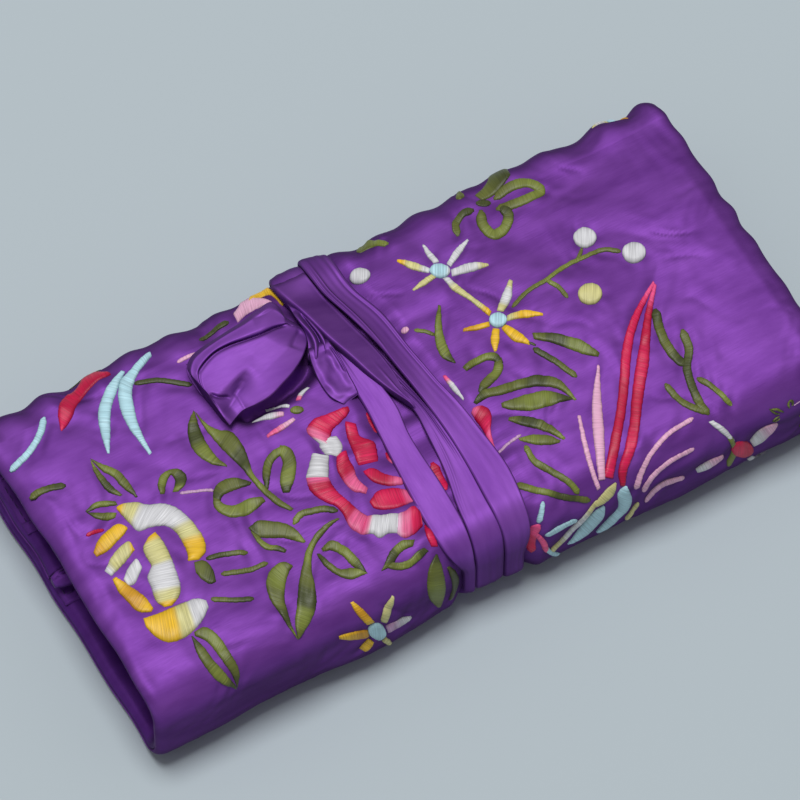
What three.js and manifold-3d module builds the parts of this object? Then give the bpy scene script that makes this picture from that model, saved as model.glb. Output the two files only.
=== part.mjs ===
// Jewelry roll of embroidered satin, rolled up and tied with a wound ribbon of the same satin.
//
// The roll is one padded strip, folded four times: bottom panel, near spine, top panel, far spine
// and a short inner flap tucked in above the bottom panel. +X runs along the roll, -Y is the near
// long side, +Z is up, and the origin is on the table under the middle of the roll. Millimetres.
// The lining side carries three zipped pockets and a stuffed bar for rings.

import * as THREE from 'three';
import { mergeVertices } from 'three/addons/utils/BufferGeometryUtils.js';
import Module from 'manifold-3d';

const wasm = await Module();
wasm.setup();

// The closed roll.
const rollLength = 200;
const rollWidth = 98;
const rollHeight = 30;
const panelThickness = 4.5;
const satinThickness = 0.8;
const foldRadius = 10;
const innerFoldRadius = 8;
const flapLift = 6.6;
const bindingWidth = 4;
const seatGap = 0.3;
const cutOverrun = 2;

// The three zipped pockets. The flap's and the top's zips are placed from the fold or binding
// before them.
const tapeWidth = 12;
const tapeThickness = 0.6;
const tapeEndMargin = 12;
const coilWidth = 2.5;
const coilHeight = 1;
const coilSink = 0.2;
const coilEndMargin = 20;
const stopLength = 3;
const stopWidth = 4;
const stopHeight = 1.6;
const pocketThickness = 1;
const flapTapeStart = 0.5;
const topTapeStart = 3;
const pocketHem = 1;

// One slider and its pull.
const sliderLength = 8;
const sliderWidth = 6.5;
const sliderNeck = 4.6;
const sliderRoof = 1.4;
const earThickness = 0.7;
const earLength = 1.8;
const pullWidth = 4.4;
const pullLength = 8;
const pullThickness = 1;
const pullHole = 2;
const bailThickness = 0.6;
const bailHeadroom = 0.35;

// The ring bar, with its sewn end and its snap.
const barDiameter = 14;
const barStartMargin = 22;
const barEndMargin = 38;
const barAcross = 15;
const barToZip = 20;
const zipToFlap = 9;
const barEndRound = 3;
const seamTabLength = 8;
const seamTabWidth = 10;
const seamTabHeight = 9;
const seamTabThickness = 1.6;
const snapDiameter = 8;
const snapBase = 0.8;
const snapNubDiameter = 3;
const snapNubHeight = 1.3;
const snapSocketHeight = 1.6;
const snapReach = 8;
const strapLength = 15;
const strapWidth = 10;
const strapThickness = 1.2;

// The tie: one ribbon sewn under the roll, wound round it three times and knotted on top.
const ribbonWidth = 7.4;
const ribbonThickness = 1;
const ribbonPitch = 8;
const ribbonTurns = 3;
const ribbonStartX = -10.5;
const ribbonLean = 4;
const ribbonFloorGap = 0.2;
const grooveMargin = 0.8;
const straightEnd = 8;
const anchorInset = 8;
const anchorLength = 7.5;
const anchorWidth = 6.4;
const knotStartX = -17.4;
const knotFromFold = 19;
const knotLength = 7.2;
const knotWidth = 14;
const knotHeight = 6;
const knotRound = 2.2;
const endLength = 27.5;
const endWidth = 27;
const endCrown = 8;
const endLip = 1.2;
const tailLength = 14;
const tailWidth = 8;
const tailCrown = 2.6;
const tailLip = 1;
const gapSamples = 24;

const halfLength = rollLength / 2;
const halfWidth = rollWidth / 2;
const flatEdge = halfWidth - foldRadius;
const innerFlatEdge = halfWidth - innerFoldRadius;
const grooveDepth = ribbonFloorGap + ribbonThickness + seatGap;
const knotNearY = flatEdge - knotFromFold;

// The ribbon leans over the top and moves on by the rest of its pitch under the roll.
const leanRate = ribbonLean / (2 * flatEdge);
const underRate = (ribbonPitch - ribbonLean) / (flatEdge + innerFlatEdge);
const anchorEdgeY = innerFlatEdge - anchorInset;
const lastTurnX = ribbonStartX + (ribbonTurns - 1) * ribbonPitch;
const anchorX = lastTurnX + underRate * (anchorEdgeY + flatEdge);
const grooveStartX = ribbonStartX - ribbonWidth / 2 - grooveMargin;
const grooveEndX = anchorX + ribbonWidth / 2 + grooveMargin;
const paddingThickness = panelThickness - 2 * satinThickness;
const coilLength = rollLength - 2 * coilEndMargin;
const barLength = rollLength - barStartMargin - barEndMargin;

// The ring bar, the bottom zip and the flap's free edge follow each other across the bottom panel.
const bottomTapeStart = barAcross + barToZip - tapeWidth / 2;
const flapEdgeY = -flatEdge + barAcross + barToZip + zipToFlap;
const flapWidth = innerFlatEdge - flapEdgeY;

const satin = { color: 0x7b42a4, roughness: 0.42, metalness: 0 };
const satinFold = { color: 0x6a3590, roughness: 0.45, metalness: 0 };
const ribbonSatin = { color: 0x8f58b8, roughness: 0.36, metalness: 0 };
const wadding = { color: 0xe9e6df, roughness: 0.95, metalness: 0 };
const liningSatin = { color: 0x5d2c83, roughness: 0.5, metalness: 0 };
const pocketSatin = { color: 0x6b3793, roughness: 0.48, metalness: 0 };
const zipCloth = { color: 0x4b2370, roughness: 0.8, metalness: 0 };
const goldMetal = { color: 0xc9a25a, roughness: 0.3, metalness: 1 };

const roll = new THREE.Group();

const X = new THREE.Vector3(1, 0, 0);
const Y = new THREE.Vector3(0, 1, 0);
const Z = new THREE.Vector3(0, 0, 1);
const minusY = new THREE.Vector3(0, -1, 0);
const minusZ = new THREE.Vector3(0, 0, -1);

// A frame turns local x, y and z to the three given directions and starts at a point.
function frameOf(first, second, third, x, y, z) {
  return new THREE.Matrix4().makeBasis(first, second, third).setPosition(x, y, z);
}

function addPiece(name, geometry, finish) {
  const mesh = new THREE.Mesh(geometry, new THREE.MeshStandardMaterial(finish));
  mesh.name = name;
  roll.add(mesh);
  return mesh;
}

// Turns a closed three.js geometry into a solid that can be cut or joined, and back.
function solidOf(geometry) {
  const bare = geometry.clone();
  bare.deleteAttribute('normal');
  bare.deleteAttribute('uv');
  const merged = mergeVertices(bare);
  const vertProperties = new Float32Array(merged.attributes.position.array);
  const triVerts = new Uint32Array(merged.index.array);
  return new wasm.Manifold(new wasm.Mesh({ numProp: 3, vertProperties, triVerts }));
}

function geometryOf(solid) {
  const mesh = solid.getMesh();
  const geometry = new THREE.BufferGeometry();
  geometry.setAttribute('position', new THREE.BufferAttribute(new Float32Array(mesh.vertProperties), 3));
  geometry.setIndex(new THREE.BufferAttribute(new Uint32Array(mesh.triVerts), 1));
  geometry.computeVertexNormals();
  return geometry;
}

function boxBetween(x0, x1, y0, y1, z0, z1) {
  const box = new THREE.BoxGeometry(x1 - x0, y1 - y0, z1 - z0);
  return box.translate((x0 + x1) / 2, (y0 + y1) / 2, (z0 + z1) / 2);
}

function outlineOf(points) {
  return new THREE.Shape(points.map(([a, b]) => new THREE.Vector2(a, b)));
}

function extrude(shape, depth, curveSegments = 8) {
  return new THREE.ExtrudeGeometry(shape, { depth, bevelEnabled: false, curveSegments });
}

// A panel's own frame: x along the roll, y across the panel, z from its outer face to its lining.
function panelFrame(across, inward, y, z) {
  return frameOf(X, across, inward, 0, y, z);
}

// The cover is a tray: its long ends turn up round the wadding and meet the lining.
function coverOutline(groove) {
  const inner = halfLength - satinThickness;
  const points = [[-halfLength, 0]];
  if (groove) {
    points.push([grooveStartX, 0], [grooveStartX, grooveDepth]);
    points.push([grooveEndX, grooveDepth], [grooveEndX, 0]);
  }
  points.push([halfLength, 0], [halfLength, panelThickness], [inner, panelThickness]);
  points.push([inner, satinThickness]);
  if (groove) {
    points.push([grooveEndX + satinThickness, satinThickness]);
    points.push([grooveEndX + satinThickness, grooveDepth + satinThickness]);
    points.push([grooveStartX - satinThickness, grooveDepth + satinThickness]);
    points.push([grooveStartX - satinThickness, satinThickness]);
  }
  points.push([-inner, satinThickness], [-inner, panelThickness], [-halfLength, panelThickness]);
  return outlineOf(points);
}

function waddingOutline(groove) {
  const inner = halfLength - satinThickness;
  const top = satinThickness + paddingThickness;
  const points = [[-inner, satinThickness]];
  if (groove) {
    points.push([grooveStartX - satinThickness, satinThickness]);
    points.push([grooveStartX - satinThickness, grooveDepth + satinThickness]);
    points.push([grooveEndX + satinThickness, grooveDepth + satinThickness]);
    points.push([grooveEndX + satinThickness, satinThickness]);
  }
  points.push([inner, satinThickness], [inner, top], [-inner, top]);
  return outlineOf(points);
}

// Satin cover, wadding and lining of one flat panel, width wide across the strip.
function addPanel(prefix, frame, width, groove = false) {
  const acrossPanel = frameOf(X, Z, minusY, 0, width, 0);
  const cover = extrude(coverOutline(groove), width).applyMatrix4(acrossPanel);
  const padding = extrude(waddingOutline(groove), width).applyMatrix4(acrossPanel);
  const inner = halfLength - satinThickness;
  const liningFoot = satinThickness + paddingThickness;
  const lining = boxBetween(-inner, inner, 0, width, liningFoot, panelThickness);
  addPiece(`${prefix}_cover`, cover.applyMatrix4(frame), satin);
  addPiece(`${prefix}_padding`, padding.applyMatrix4(frame), wadding);
  addPiece(`${prefix}_lining`, lining.applyMatrix4(frame), liningSatin);
}

// A fold is a quarter round of the whole padded thickness, from one angle to the next, along the roll.
function foldGeometry(centreY, centreZ, radius, startAngle) {
  const ring = new THREE.Shape();
  const endAngle = startAngle + Math.PI / 2;
  ring.absarc(centreY, centreZ, radius, startAngle, endAngle, false);
  ring.absarc(centreY, centreZ, radius - panelThickness, endAngle, startAngle, true);
  ring.closePath();
  return extrude(ring, rollLength).applyMatrix4(frameOf(Y, Z, X, -halfLength, 0, 0));
}

// The channel that the tie presses into a bottom edge: what lies outside a quarter ellipse.
function tieChannel(centreY, centreZ, reachY, reachZ, side) {
  const outline = new THREE.Shape();
  const outerY = centreY + side * (reachY + cutOverrun);
  outline.moveTo(centreY, centreZ - reachZ);
  outline.lineTo(centreY, centreZ - reachZ - cutOverrun);
  outline.lineTo(outerY, centreZ - reachZ - cutOverrun);
  outline.lineTo(outerY, centreZ);
  outline.lineTo(centreY + side * reachY, centreZ);
  const from = side > 0 ? 0 : Math.PI;
  const to = side > 0 ? -Math.PI / 2 : (3 * Math.PI) / 2;
  outline.absellipse(centreY, centreZ, reachY, reachZ, from, to, side > 0, 0);
  return extrude(outline, grooveEndX - grooveStartX).applyMatrix4(frameOf(Y, Z, X, grooveStartX, 0, 0));
}

// A bound edge: flat where it meets the panel, half round at its free side.
function bindingGeometry(startY, footZ, side) {
  const round = panelThickness / 2;
  const outline = new THREE.Shape();
  const centreY = startY + side * (bindingWidth - round);
  outline.moveTo(startY, footZ);
  outline.lineTo(centreY, footZ);
  outline.absarc(centreY, footZ + round, round, -Math.PI / 2, Math.PI / 2, side < 0);
  outline.lineTo(startY, footZ + panelThickness);
  return extrude(outline, rollLength).applyMatrix4(frameOf(Y, Z, X, -halfLength, 0, 0));
}

const bottomFrame = panelFrame(Y, Z, -flatEdge, 0);
const nearSpineFrame = panelFrame(minusZ, Y, -halfWidth, rollHeight - foldRadius);
const topFrame = panelFrame(minusY, minusZ, flatEdge, rollHeight);
const farSpineFoot = flapLift + innerFoldRadius;
const farSpineFrame = panelFrame(Z, minusY, halfWidth, farSpineFoot);
const flapFrame = panelFrame(Y, Z, flapEdgeY + bindingWidth, flapLift);

addPanel('bottom', bottomFrame, flatEdge + innerFlatEdge, true);
addPanel('near_spine', nearSpineFrame, rollHeight - 2 * foldRadius);
addPanel('top', topFrame, 2 * flatEdge);
addPanel('far_spine', farSpineFrame, rollHeight - foldRadius - farSpineFoot);
addPanel('flap', flapFrame, flapWidth - bindingWidth);

// The tie's middle line follows the closed roll's section at this distance.
const ribbonStandOff = seatGap + ribbonThickness / 2;
const ribbonFloor = ribbonFloorGap + ribbonThickness / 2;
const nearReachY = foldRadius + ribbonStandOff;
const nearReachZ = foldRadius - ribbonFloor;
const farReach = innerFoldRadius + ribbonStandOff;
const farCentreZ = ribbonFloor + farReach;

const nearChannelZ = nearReachZ - ribbonStandOff;
const farChannelReach = farReach - ribbonStandOff;
const nearChannel = tieChannel(-flatEdge, foldRadius, foldRadius, nearChannelZ, -1);
const farChannel = tieChannel(innerFlatEdge, farCentreZ, farChannelReach, farChannelReach, 1);
const nearBottomFold = solidOf(foldGeometry(-flatEdge, foldRadius, foldRadius, Math.PI));
addPiece('fold_near_bottom', geometryOf(nearBottomFold.subtract(solidOf(nearChannel))), satinFold);
const nearTopFold = foldGeometry(-flatEdge, rollHeight - foldRadius, foldRadius, Math.PI / 2);
addPiece('fold_near_top', nearTopFold, satinFold);
addPiece('fold_far_top', foldGeometry(flatEdge, rollHeight - foldRadius, foldRadius, 0), satinFold);
const flapFold = foldGeometry(innerFlatEdge, farSpineFoot, innerFoldRadius, -Math.PI / 2);
addPiece('fold_far_flap', flapFold, satinFold);

const bottomBinding = solidOf(bindingGeometry(innerFlatEdge, 0, 1)).subtract(solidOf(farChannel));
addPiece('bottom_edge_binding', geometryOf(bottomBinding), satin);
addPiece('flap_edge_binding', bindingGeometry(flapEdgeY + bindingWidth, flapLift, -1), satin);

// Everything on a pocket is set out in its panel's frame, on the lining face.
const coilRoof = tapeThickness + coilHeight;
const sliderRoofFoot = coilRoof + seatGap;
const pullMiddle = sliderRoofFoot + sliderRoof + seatGap + pullThickness / 2;

// Zip tape with its coil and two end stops.
function zipTape(tapeStart) {
  const middle = tapeStart + tapeWidth / 2;
  const reach = halfLength - tapeEndMargin;
  const foot = panelThickness;
  const tapeEnd = tapeStart + tapeWidth;
  const tape = solidOf(boxBetween(-reach, reach, tapeStart, tapeEnd, foot, foot + tapeThickness));
  const coilFoot = foot + tapeThickness - coilSink;
  const coilTop = foot + coilRoof;
  const halfRun = coilLength / 2;
  const halfCoil = coilWidth / 2;
  const coil = boxBetween(
    -halfRun, halfRun, middle - halfCoil, middle + halfCoil, coilFoot, coilTop);
  let whole = tape.add(solidOf(coil));
  for (const side of [-1, 1]) {
    const stopX = side * halfRun;
    const halfStop = stopWidth / 2;
    const stopTop = foot + tapeThickness + stopHeight;
    const stop = boxBetween(
      stopX - stopLength / 2, stopX + stopLength / 2,
      middle - halfStop, middle + halfStop, coilFoot, stopTop);
    whole = whole.add(solidOf(stop));
  }
  return geometryOf(whole);
}

// Slider body: a tapered block bridging the coil, with two ears and a bail over the pull's end.
function sliderGeometry(x, middle) {
  const foot = panelThickness + tapeThickness + seatGap;
  const roofTop = panelThickness + sliderRoofFoot + sliderRoof;
  const half = sliderLength / 2;
  const wide = sliderWidth / 2;
  const narrow = sliderNeck / 2;
  const outline = outlineOf([
    [x - half, middle - narrow],
    [x, middle - wide],
    [x + half, middle - wide],
    [x + half, middle + wide],
    [x, middle + wide],
    [x - half, middle + narrow],
  ]);
  const block = extrude(outline, roofTop - foot).translate(0, 0, foot);
  const halfChannel = coilWidth / 2 + seatGap;
  const overrun = half + cutOverrun;
  const channelTop = panelThickness + sliderRoofFoot;
  const channel = boxBetween(
    x - overrun, x + overrun, middle - halfChannel, middle + halfChannel, foot - cutOverrun, channelTop);
  let body = solidOf(block).subtract(solidOf(channel));
  const bailFoot = panelThickness + pullMiddle + pullThickness / 2 + bailHeadroom;
  const bailTop = bailFoot + bailThickness;
  const earInner = pullWidth / 2 + seatGap;
  const earOuter = earInner + earThickness;
  const earStart = x - earLength / 2 - bailThickness;
  for (const side of [-1, 1]) {
    const low = middle + Math.min(side * earInner, side * earOuter);
    const earFoot = roofTop - coilSink;
    const ear = boxBetween(earStart, x + earLength / 2, low, low + earThickness, earFoot, bailTop);
    body = body.add(solidOf(ear));
  }
  const bailEnd = earStart + 2 * bailThickness;
  const bail = boxBetween(
    earStart, bailEnd, middle - earOuter, middle + earOuter, bailFoot, bailTop);
  return geometryOf(body.add(solidOf(bail)));
}

// The pull lies flat along the zip, from its end under the bail.
function pullGeometry(x, middle) {
  const end = pullWidth / 2;
  const outline = new THREE.Shape();
  outline.moveTo(x - pullThickness / 2, middle - end);
  outline.lineTo(x + pullLength - end, middle - end);
  outline.absarc(x + pullLength - end, middle, end, -Math.PI / 2, Math.PI / 2, false);
  outline.lineTo(x - pullThickness / 2, middle + end);
  const hole = new THREE.Path();
  hole.absarc(x + pullLength - end, middle, pullHole / 2, 0, 2 * Math.PI, true);
  outline.holes.push(hole);
  const foot = panelThickness + pullMiddle - pullThickness / 2;
  return extrude(outline, pullThickness, 6).translate(0, 0, foot);
}

// One pocket: its cloth beside the zip, the tape, and the slider with its pull near the closed end.
function addPocket(prefix, frame, tapeStart, clothStart, clothEnd, sliderX) {
  const reach = halfLength - pocketHem;
  const middle = tapeStart + tapeWidth / 2;
  const clothTop = panelThickness + pocketThickness;
  const cloth = boxBetween(-reach, reach, clothStart, clothEnd, panelThickness, clothTop);
  addPiece(`${prefix}_pocket_cloth`, cloth.applyMatrix4(frame), pocketSatin);
  addPiece(`${prefix}_zip_tape`, zipTape(tapeStart).applyMatrix4(frame), zipCloth);
  addPiece(`${prefix}_zip_slider`, sliderGeometry(sliderX, middle).applyMatrix4(frame), goldMetal);
  addPiece(`${prefix}_zip_pull`, pullGeometry(sliderX, middle).applyMatrix4(frame), goldMetal);
}

// Each slider rests against the stop at its closed end.
const closedSliderX = -(coilLength / 2 - stopLength / 2 - sliderLength / 2 - seatGap);
const bottomClothEnd = flatEdge + innerFlatEdge - pocketHem;
const flapClothEnd = flapWidth - bindingWidth - pocketHem;
const topClothStart = topTapeStart + tapeWidth;
const topClothEnd = 2 * flatEdge - pocketHem;
const bottomClothStart = bottomTapeStart + tapeWidth;
const flapClothStart = flapTapeStart + tapeWidth;
addPocket('bottom', bottomFrame, bottomTapeStart, bottomClothStart, bottomClothEnd, closedSliderX);
addPocket('flap', flapFrame, flapTapeStart, flapClothStart, flapClothEnd, closedSliderX);
addPocket('top', topFrame, topTapeStart, topClothStart, topClothEnd, closedSliderX);

// The ring bar: a stuffed tube with rounded ends, just above the bottom panel's lining.
const barRadius = barDiameter / 2;
const barLeft = -halfLength + barStartMargin;
const barRight = barLeft + barLength;
const barMiddleZ = panelThickness + seatGap + barRadius;

function barGeometry() {
  const profile = [new THREE.Vector2(0, 0)];
  const roundSteps = 4;
  for (let i = 0; i <= roundSteps; i += 1) {
    const angle = (i / roundSteps) * (Math.PI / 2);
    const out = barRadius - barEndRound + barEndRound * Math.sin(angle);
    profile.push(new THREE.Vector2(out, barEndRound - barEndRound * Math.cos(angle)));
  }
  for (let i = roundSteps; i >= 0; i -= 1) {
    const angle = (i / roundSteps) * (Math.PI / 2);
    const out = barRadius - barEndRound + barEndRound * Math.sin(angle);
    profile.push(new THREE.Vector2(out, barLength - barEndRound + barEndRound * Math.cos(angle)));
  }
  profile.push(new THREE.Vector2(0, barLength));
  const lathe = new THREE.LatheGeometry(profile, 20);
  return lathe.applyMatrix4(frameOf(Z, X, Y, barLeft, barAcross, barMiddleZ));
}
addPiece('ring_bar', barGeometry().applyMatrix4(bottomFrame), pocketSatin);

// Sewn end: a tab that lies on the lining and turns up against the bar's end.
const seamRight = barLeft - seatGap;
const seamOutline = outlineOf([
  [seamRight - seamTabLength, panelThickness],
  [seamRight, panelThickness],
  [seamRight, panelThickness + seamTabHeight],
  [seamRight - seamTabThickness, panelThickness + seamTabHeight],
  [seamRight - 2 * seamTabThickness, panelThickness + seamTabThickness],
  [seamRight - seamTabLength, panelThickness + seamTabThickness],
]);
const seamPlace = frameOf(X, Z, minusY, 0, barAcross + seamTabWidth / 2, 0);
const seamTab = extrude(seamOutline, seamTabWidth).applyMatrix4(seamPlace).applyMatrix4(bottomFrame);
addPiece('ring_bar_seam_tab', seamTab, pocketSatin);

// Snap end: a strap from the bar's other end, a socket under it and a stud on the lining.
const strapStart = barRight + seatGap;
const snapX = strapStart + snapReach;
const socketFoot = panelThickness + snapBase + seatGap;
const strapFoot = socketFoot + snapSocketHeight;

function discGeometry(radius, height, footZ) {
  const disc = new THREE.Shape();
  disc.absarc(snapX, barAcross, radius, 0, 2 * Math.PI, false);
  return extrude(disc, height, 10).translate(0, 0, footZ);
}
const studBase = solidOf(discGeometry(snapDiameter / 2, snapBase, panelThickness));
const studNubFoot = panelThickness + snapBase - coilSink;
const studNub = solidOf(discGeometry(snapNubDiameter / 2, snapNubHeight + coilSink, studNubFoot));
addPiece('snap_stud', geometryOf(studBase.add(studNub)).applyMatrix4(bottomFrame), goldMetal);
const socketDisc = solidOf(discGeometry(snapDiameter / 2, snapSocketHeight, socketFoot));
const socketBore = solidOf(
  discGeometry(snapNubDiameter / 2 + seatGap, snapSocketHeight + 2 * cutOverrun, socketFoot - cutOverrun));
const socket = geometryOf(socketDisc.subtract(socketBore));
addPiece('snap_socket', socket.applyMatrix4(bottomFrame), goldMetal);

function strapGeometry() {
  const half = strapWidth / 2;
  const outline = new THREE.Shape();
  const roundX = strapStart + strapLength - half;
  outline.moveTo(strapStart, barAcross - half);
  outline.lineTo(roundX, barAcross - half);
  outline.absarc(roundX, barAcross, half, -Math.PI / 2, Math.PI / 2, false);
  outline.lineTo(strapStart, barAcross + half);
  return extrude(outline, strapThickness, 8).translate(0, 0, strapFoot);
}
addPiece('ring_bar_strap', strapGeometry().applyMatrix4(bottomFrame), pocketSatin);

// The tie's section path, as one turn: over the top towards the near side, down, under and up again.
// Each entry gives a point and the outward direction there, in the plane across the roll.
function arcStations(centreY, centreZ, reachY, reachZ, from, to, steps) {
  const stations = [];
  for (let i = 0; i <= steps; i += 1) {
    const angle = from + ((to - from) * i) / steps;
    const out = new THREE.Vector2(Math.cos(angle) / reachY, Math.sin(angle) / reachZ).normalize();
    const y = centreY + reachY * Math.cos(angle);
    const z = centreZ + reachZ * Math.sin(angle);
    stations.push({ y, z, out });
  }
  return stations;
}

const cornerSteps = 5;
const topReach = foldRadius + ribbonStandOff;
const topArcZ = rollHeight - foldRadius;
const quarter = Math.PI / 2;
const nearTopTurn = arcStations(-flatEdge, topArcZ, topReach, topReach, quarter, 2 * quarter, cornerSteps);
const nearFootTurn = arcStations(
  -flatEdge, foldRadius, nearReachY, nearReachZ, 2 * quarter, 3 * quarter, cornerSteps);
const farFootTurn = arcStations(
  innerFlatEdge, farCentreZ, farReach, farReach, 3 * quarter, 4 * quarter, cornerSteps);
const farTopTurn = arcStations(flatEdge, topArcZ, topReach, topReach, 0, quarter, cornerSteps);

// Joins the turns into one run, from the knot to the stitched anchor under the roll.
function ribbonRun() {
  const up = new THREE.Vector2(0, 1);
  const down = new THREE.Vector2(0, -1);
  const topZ = rollHeight + ribbonStandOff;
  const run = [];
  const knotEdge = knotNearY - seatGap;
  const knotX = ribbonStartX - leanRate * (knotEdge + flatEdge);
  run.push({ x: knotX, y: knotEdge, z: topZ, out: up });
  run.push({ x: knotX, y: knotEdge - straightEnd, z: topZ, out: up });
  for (let turn = 0; turn < ribbonTurns; turn += 1) {
    const x = ribbonStartX + turn * ribbonPitch;
    for (const s of nearTopTurn) run.push({ x, ...s });
    for (const s of nearFootTurn) run.push({ x, ...s });
    if (turn === ribbonTurns - 1) break;
    for (const s of farFootTurn) run.push({ x: x + ribbonPitch - ribbonLean, ...s });
    for (const s of farTopTurn) run.push({ x: x + ribbonPitch - ribbonLean, ...s });
  }
  run.push({ x: anchorX, y: anchorEdgeY - straightEnd, z: ribbonFloor, out: down });
  run.push({ x: anchorX, y: anchorEdgeY, z: ribbonFloor, out: down });
  return run;
}

// The ribbon's six-sided section: a thin lens, in shares of its width and thickness.
const sectionShares = [
  [-0.5, 0],
  [-0.44, -0.5],
  [0.44, -0.5],
  [0.5, 0],
  [0.44, 0.5],
  [-0.44, 0.5],
];

function ribbonGeometry(run) {
  const sides = sectionShares.length;
  const positions = [];
  for (const station of run) {
    for (const [widthShare, thicknessShare] of sectionShares) {
      const away = thicknessShare * ribbonThickness;
      const x = station.x + widthShare * ribbonWidth;
      positions.push(x, station.y + away * station.out.x, station.z + away * station.out.y);
    }
  }
  const index = [];
  for (let i = 0; i + 1 < run.length; i += 1) {
    for (let j = 0; j < sides; j += 1) {
      const a = i * sides + j;
      const b = i * sides + ((j + 1) % sides);
      index.push(a, b, b + sides, a, b + sides, a + sides);
    }
  }
  const last = (run.length - 1) * sides;
  for (let j = 1; j + 1 < sides; j += 1) {
    index.push(0, j + 1, j, last, last + j, last + j + 1);
  }
  const geometry = new THREE.BufferGeometry();
  geometry.setAttribute('position', new THREE.Float32BufferAttribute(positions, 3));
  geometry.setIndex(index);
  geometry.computeVertexNormals();
  return geometry;
}

// Least gap between the edges of neighbouring turns, measured on points along the run.
function leastRibbonGap(run) {
  const points = [];
  for (let i = 0; i + 1 < run.length; i += 1) {
    for (let k = 0; k < gapSamples; k += 1) {
      const share = k / gapSamples;
      const at = (key) => run[i][key] + (run[i + 1][key] - run[i][key]) * share;
      points.push({ x: at('x'), y: at('y'), z: at('z'), step: i });
    }
  }
  let least = Infinity;
  for (const a of points) {
    for (const b of points) {
      const apart = Math.abs(b.x - a.x);
      if (b.step <= a.step + cornerSteps || apart < ribbonWidth / 2) continue;
      const across = Math.hypot(b.y - a.y, b.z - a.z);
      least = Math.min(least, Math.hypot(Math.max(apart - ribbonWidth, 0), across));
    }
  }
  return least;
}

const tieRun = ribbonRun();
addPiece('tie_winding', ribbonGeometry(tieRun), ribbonSatin);
console.log(`least gap between turns of the tie: ${leastRibbonGap(tieRun).toFixed(2)} mm`);

// The patch that sews the ribbon to the bottom panel, past the ribbon's end.
const patchStart = anchorEdgeY + seatGap;
const patch = boxBetween(
  anchorX - anchorWidth / 2, anchorX + anchorWidth / 2,
  patchStart, patchStart + anchorLength, ribbonFloorGap, grooveDepth);
addPiece('tie_anchor_patch', patch, ribbonSatin);

// The knot on top of the roll, a bun with rounded edges and flat sides.
const coverTop = rollHeight + seatGap;
const knotShape = outlineOf([
  [knotStartX + knotRound, knotNearY + knotRound],
  [knotStartX + knotLength - knotRound, knotNearY + knotRound],
  [knotStartX + knotLength - knotRound, knotNearY + knotWidth - knotRound],
  [knotStartX + knotRound, knotNearY + knotWidth - knotRound],
]);
const knotGeometry = new THREE.ExtrudeGeometry(knotShape, {
  depth: knotHeight - 2 * knotRound,
  bevelEnabled: true,
  bevelThickness: knotRound,
  bevelSize: knotRound,
  bevelSegments: 4,
});
addPiece('tie_knot', knotGeometry.translate(0, 0, coverTop + knotRound), ribbonSatin);

// A loose end is puffy: flat under, with a low lip round its outline and a crown in the middle.
function puffyGeometry(outline, centre, footZ, lip, crown) {
  const ringShares = [1, 0.85, 0.62, 0.34];
  const count = outline.length;
  const positions = [centre[0], centre[1], footZ];
  for (const [x, y] of outline) positions.push(x, y, footZ);
  for (const share of ringShares) {
    const rise = lip + crown * Math.sqrt(1 - share * share);
    for (const [x, y] of outline) {
      const ringX = centre[0] + (x - centre[0]) * share;
      const ringY = centre[1] + (y - centre[1]) * share;
      positions.push(ringX, ringY, footZ + rise);
    }
  }
  positions.push(centre[0], centre[1], footZ + lip + crown);
  const index = [];
  for (let i = 0; i < count; i += 1) {
    const next = (i + 1) % count;
    index.push(0, 1 + next, 1 + i);
    for (let ring = 0; ring < ringShares.length; ring += 1) {
      const low = 1 + ring * count;
      const high = low + count;
      index.push(low + i, low + next, high + next, low + i, high + next, high + i);
    }
    const rim = 1 + ringShares.length * count;
    index.push(rim + i, rim + next, rim + count);
  }
  const geometry = new THREE.BufferGeometry();
  geometry.setAttribute('position', new THREE.Float32BufferAttribute(positions, 3));
  geometry.setIndex(index);
  geometry.computeVertexNormals();
  return geometry;
}

// The broad loose end lies towards -X from the knot. Shares of its length and width, round its middle.
const endRootX = knotStartX - seatGap;
const endMiddleShare = 0.62;
const endCentreShare = 0.45;
const endMiddleY = knotNearY + knotWidth * endMiddleShare;
const endOutlineShares = [
  [0, -0.24],
  [0, 0.18],
  [-0.16, 0.4],
  [-0.39, 0.49],
  [-0.56, 0.34],
  [-0.67, 0.16],
  [-1, 0],
  [-0.89, -0.24],
  [-0.96, -0.32],
  [-0.91, -0.49],
  [-0.75, -0.42],
  [-0.47, -0.41],
  [-0.12, -0.28],
];
const endOutline = endOutlineShares.map(
  ([a, b]) => [endRootX + a * endLength, endMiddleY + b * endWidth]);
const endCentre = [endRootX - endCentreShare * endLength, endMiddleY];
addPiece('tie_end', puffyGeometry(endOutline, endCentre, coverTop, endLip, endCrown), ribbonSatin);

// The pleated short end lies from the knot over the first pass of the ribbon.
const tailRootY = knotNearY - seatGap;
const tailMiddleX = knotStartX + knotLength / 2;
const tailFoot = rollHeight + 2 * seatGap + ribbonThickness;
const tailOutlineShares = [
  [0.46, 0],
  [-0.46, 0],
  [-0.38, -0.46],
  [-0.16, -0.86],
  [0.04, -1],
  [0.2, -0.74],
  [0.44, -0.34],
];
const tailOutline = tailOutlineShares.map(
  ([a, b]) => [tailMiddleX + a * tailWidth, tailRootY + b * tailLength]);
const tailCentreShare = 0.4;
const tailCentre = [tailMiddleX, tailRootY - tailCentreShare * tailLength];
addPiece('tie_tail', puffyGeometry(tailOutline, tailCentre, tailFoot, tailLip, tailCrown), ribbonSatin);

export default roll;
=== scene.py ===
import math

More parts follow.
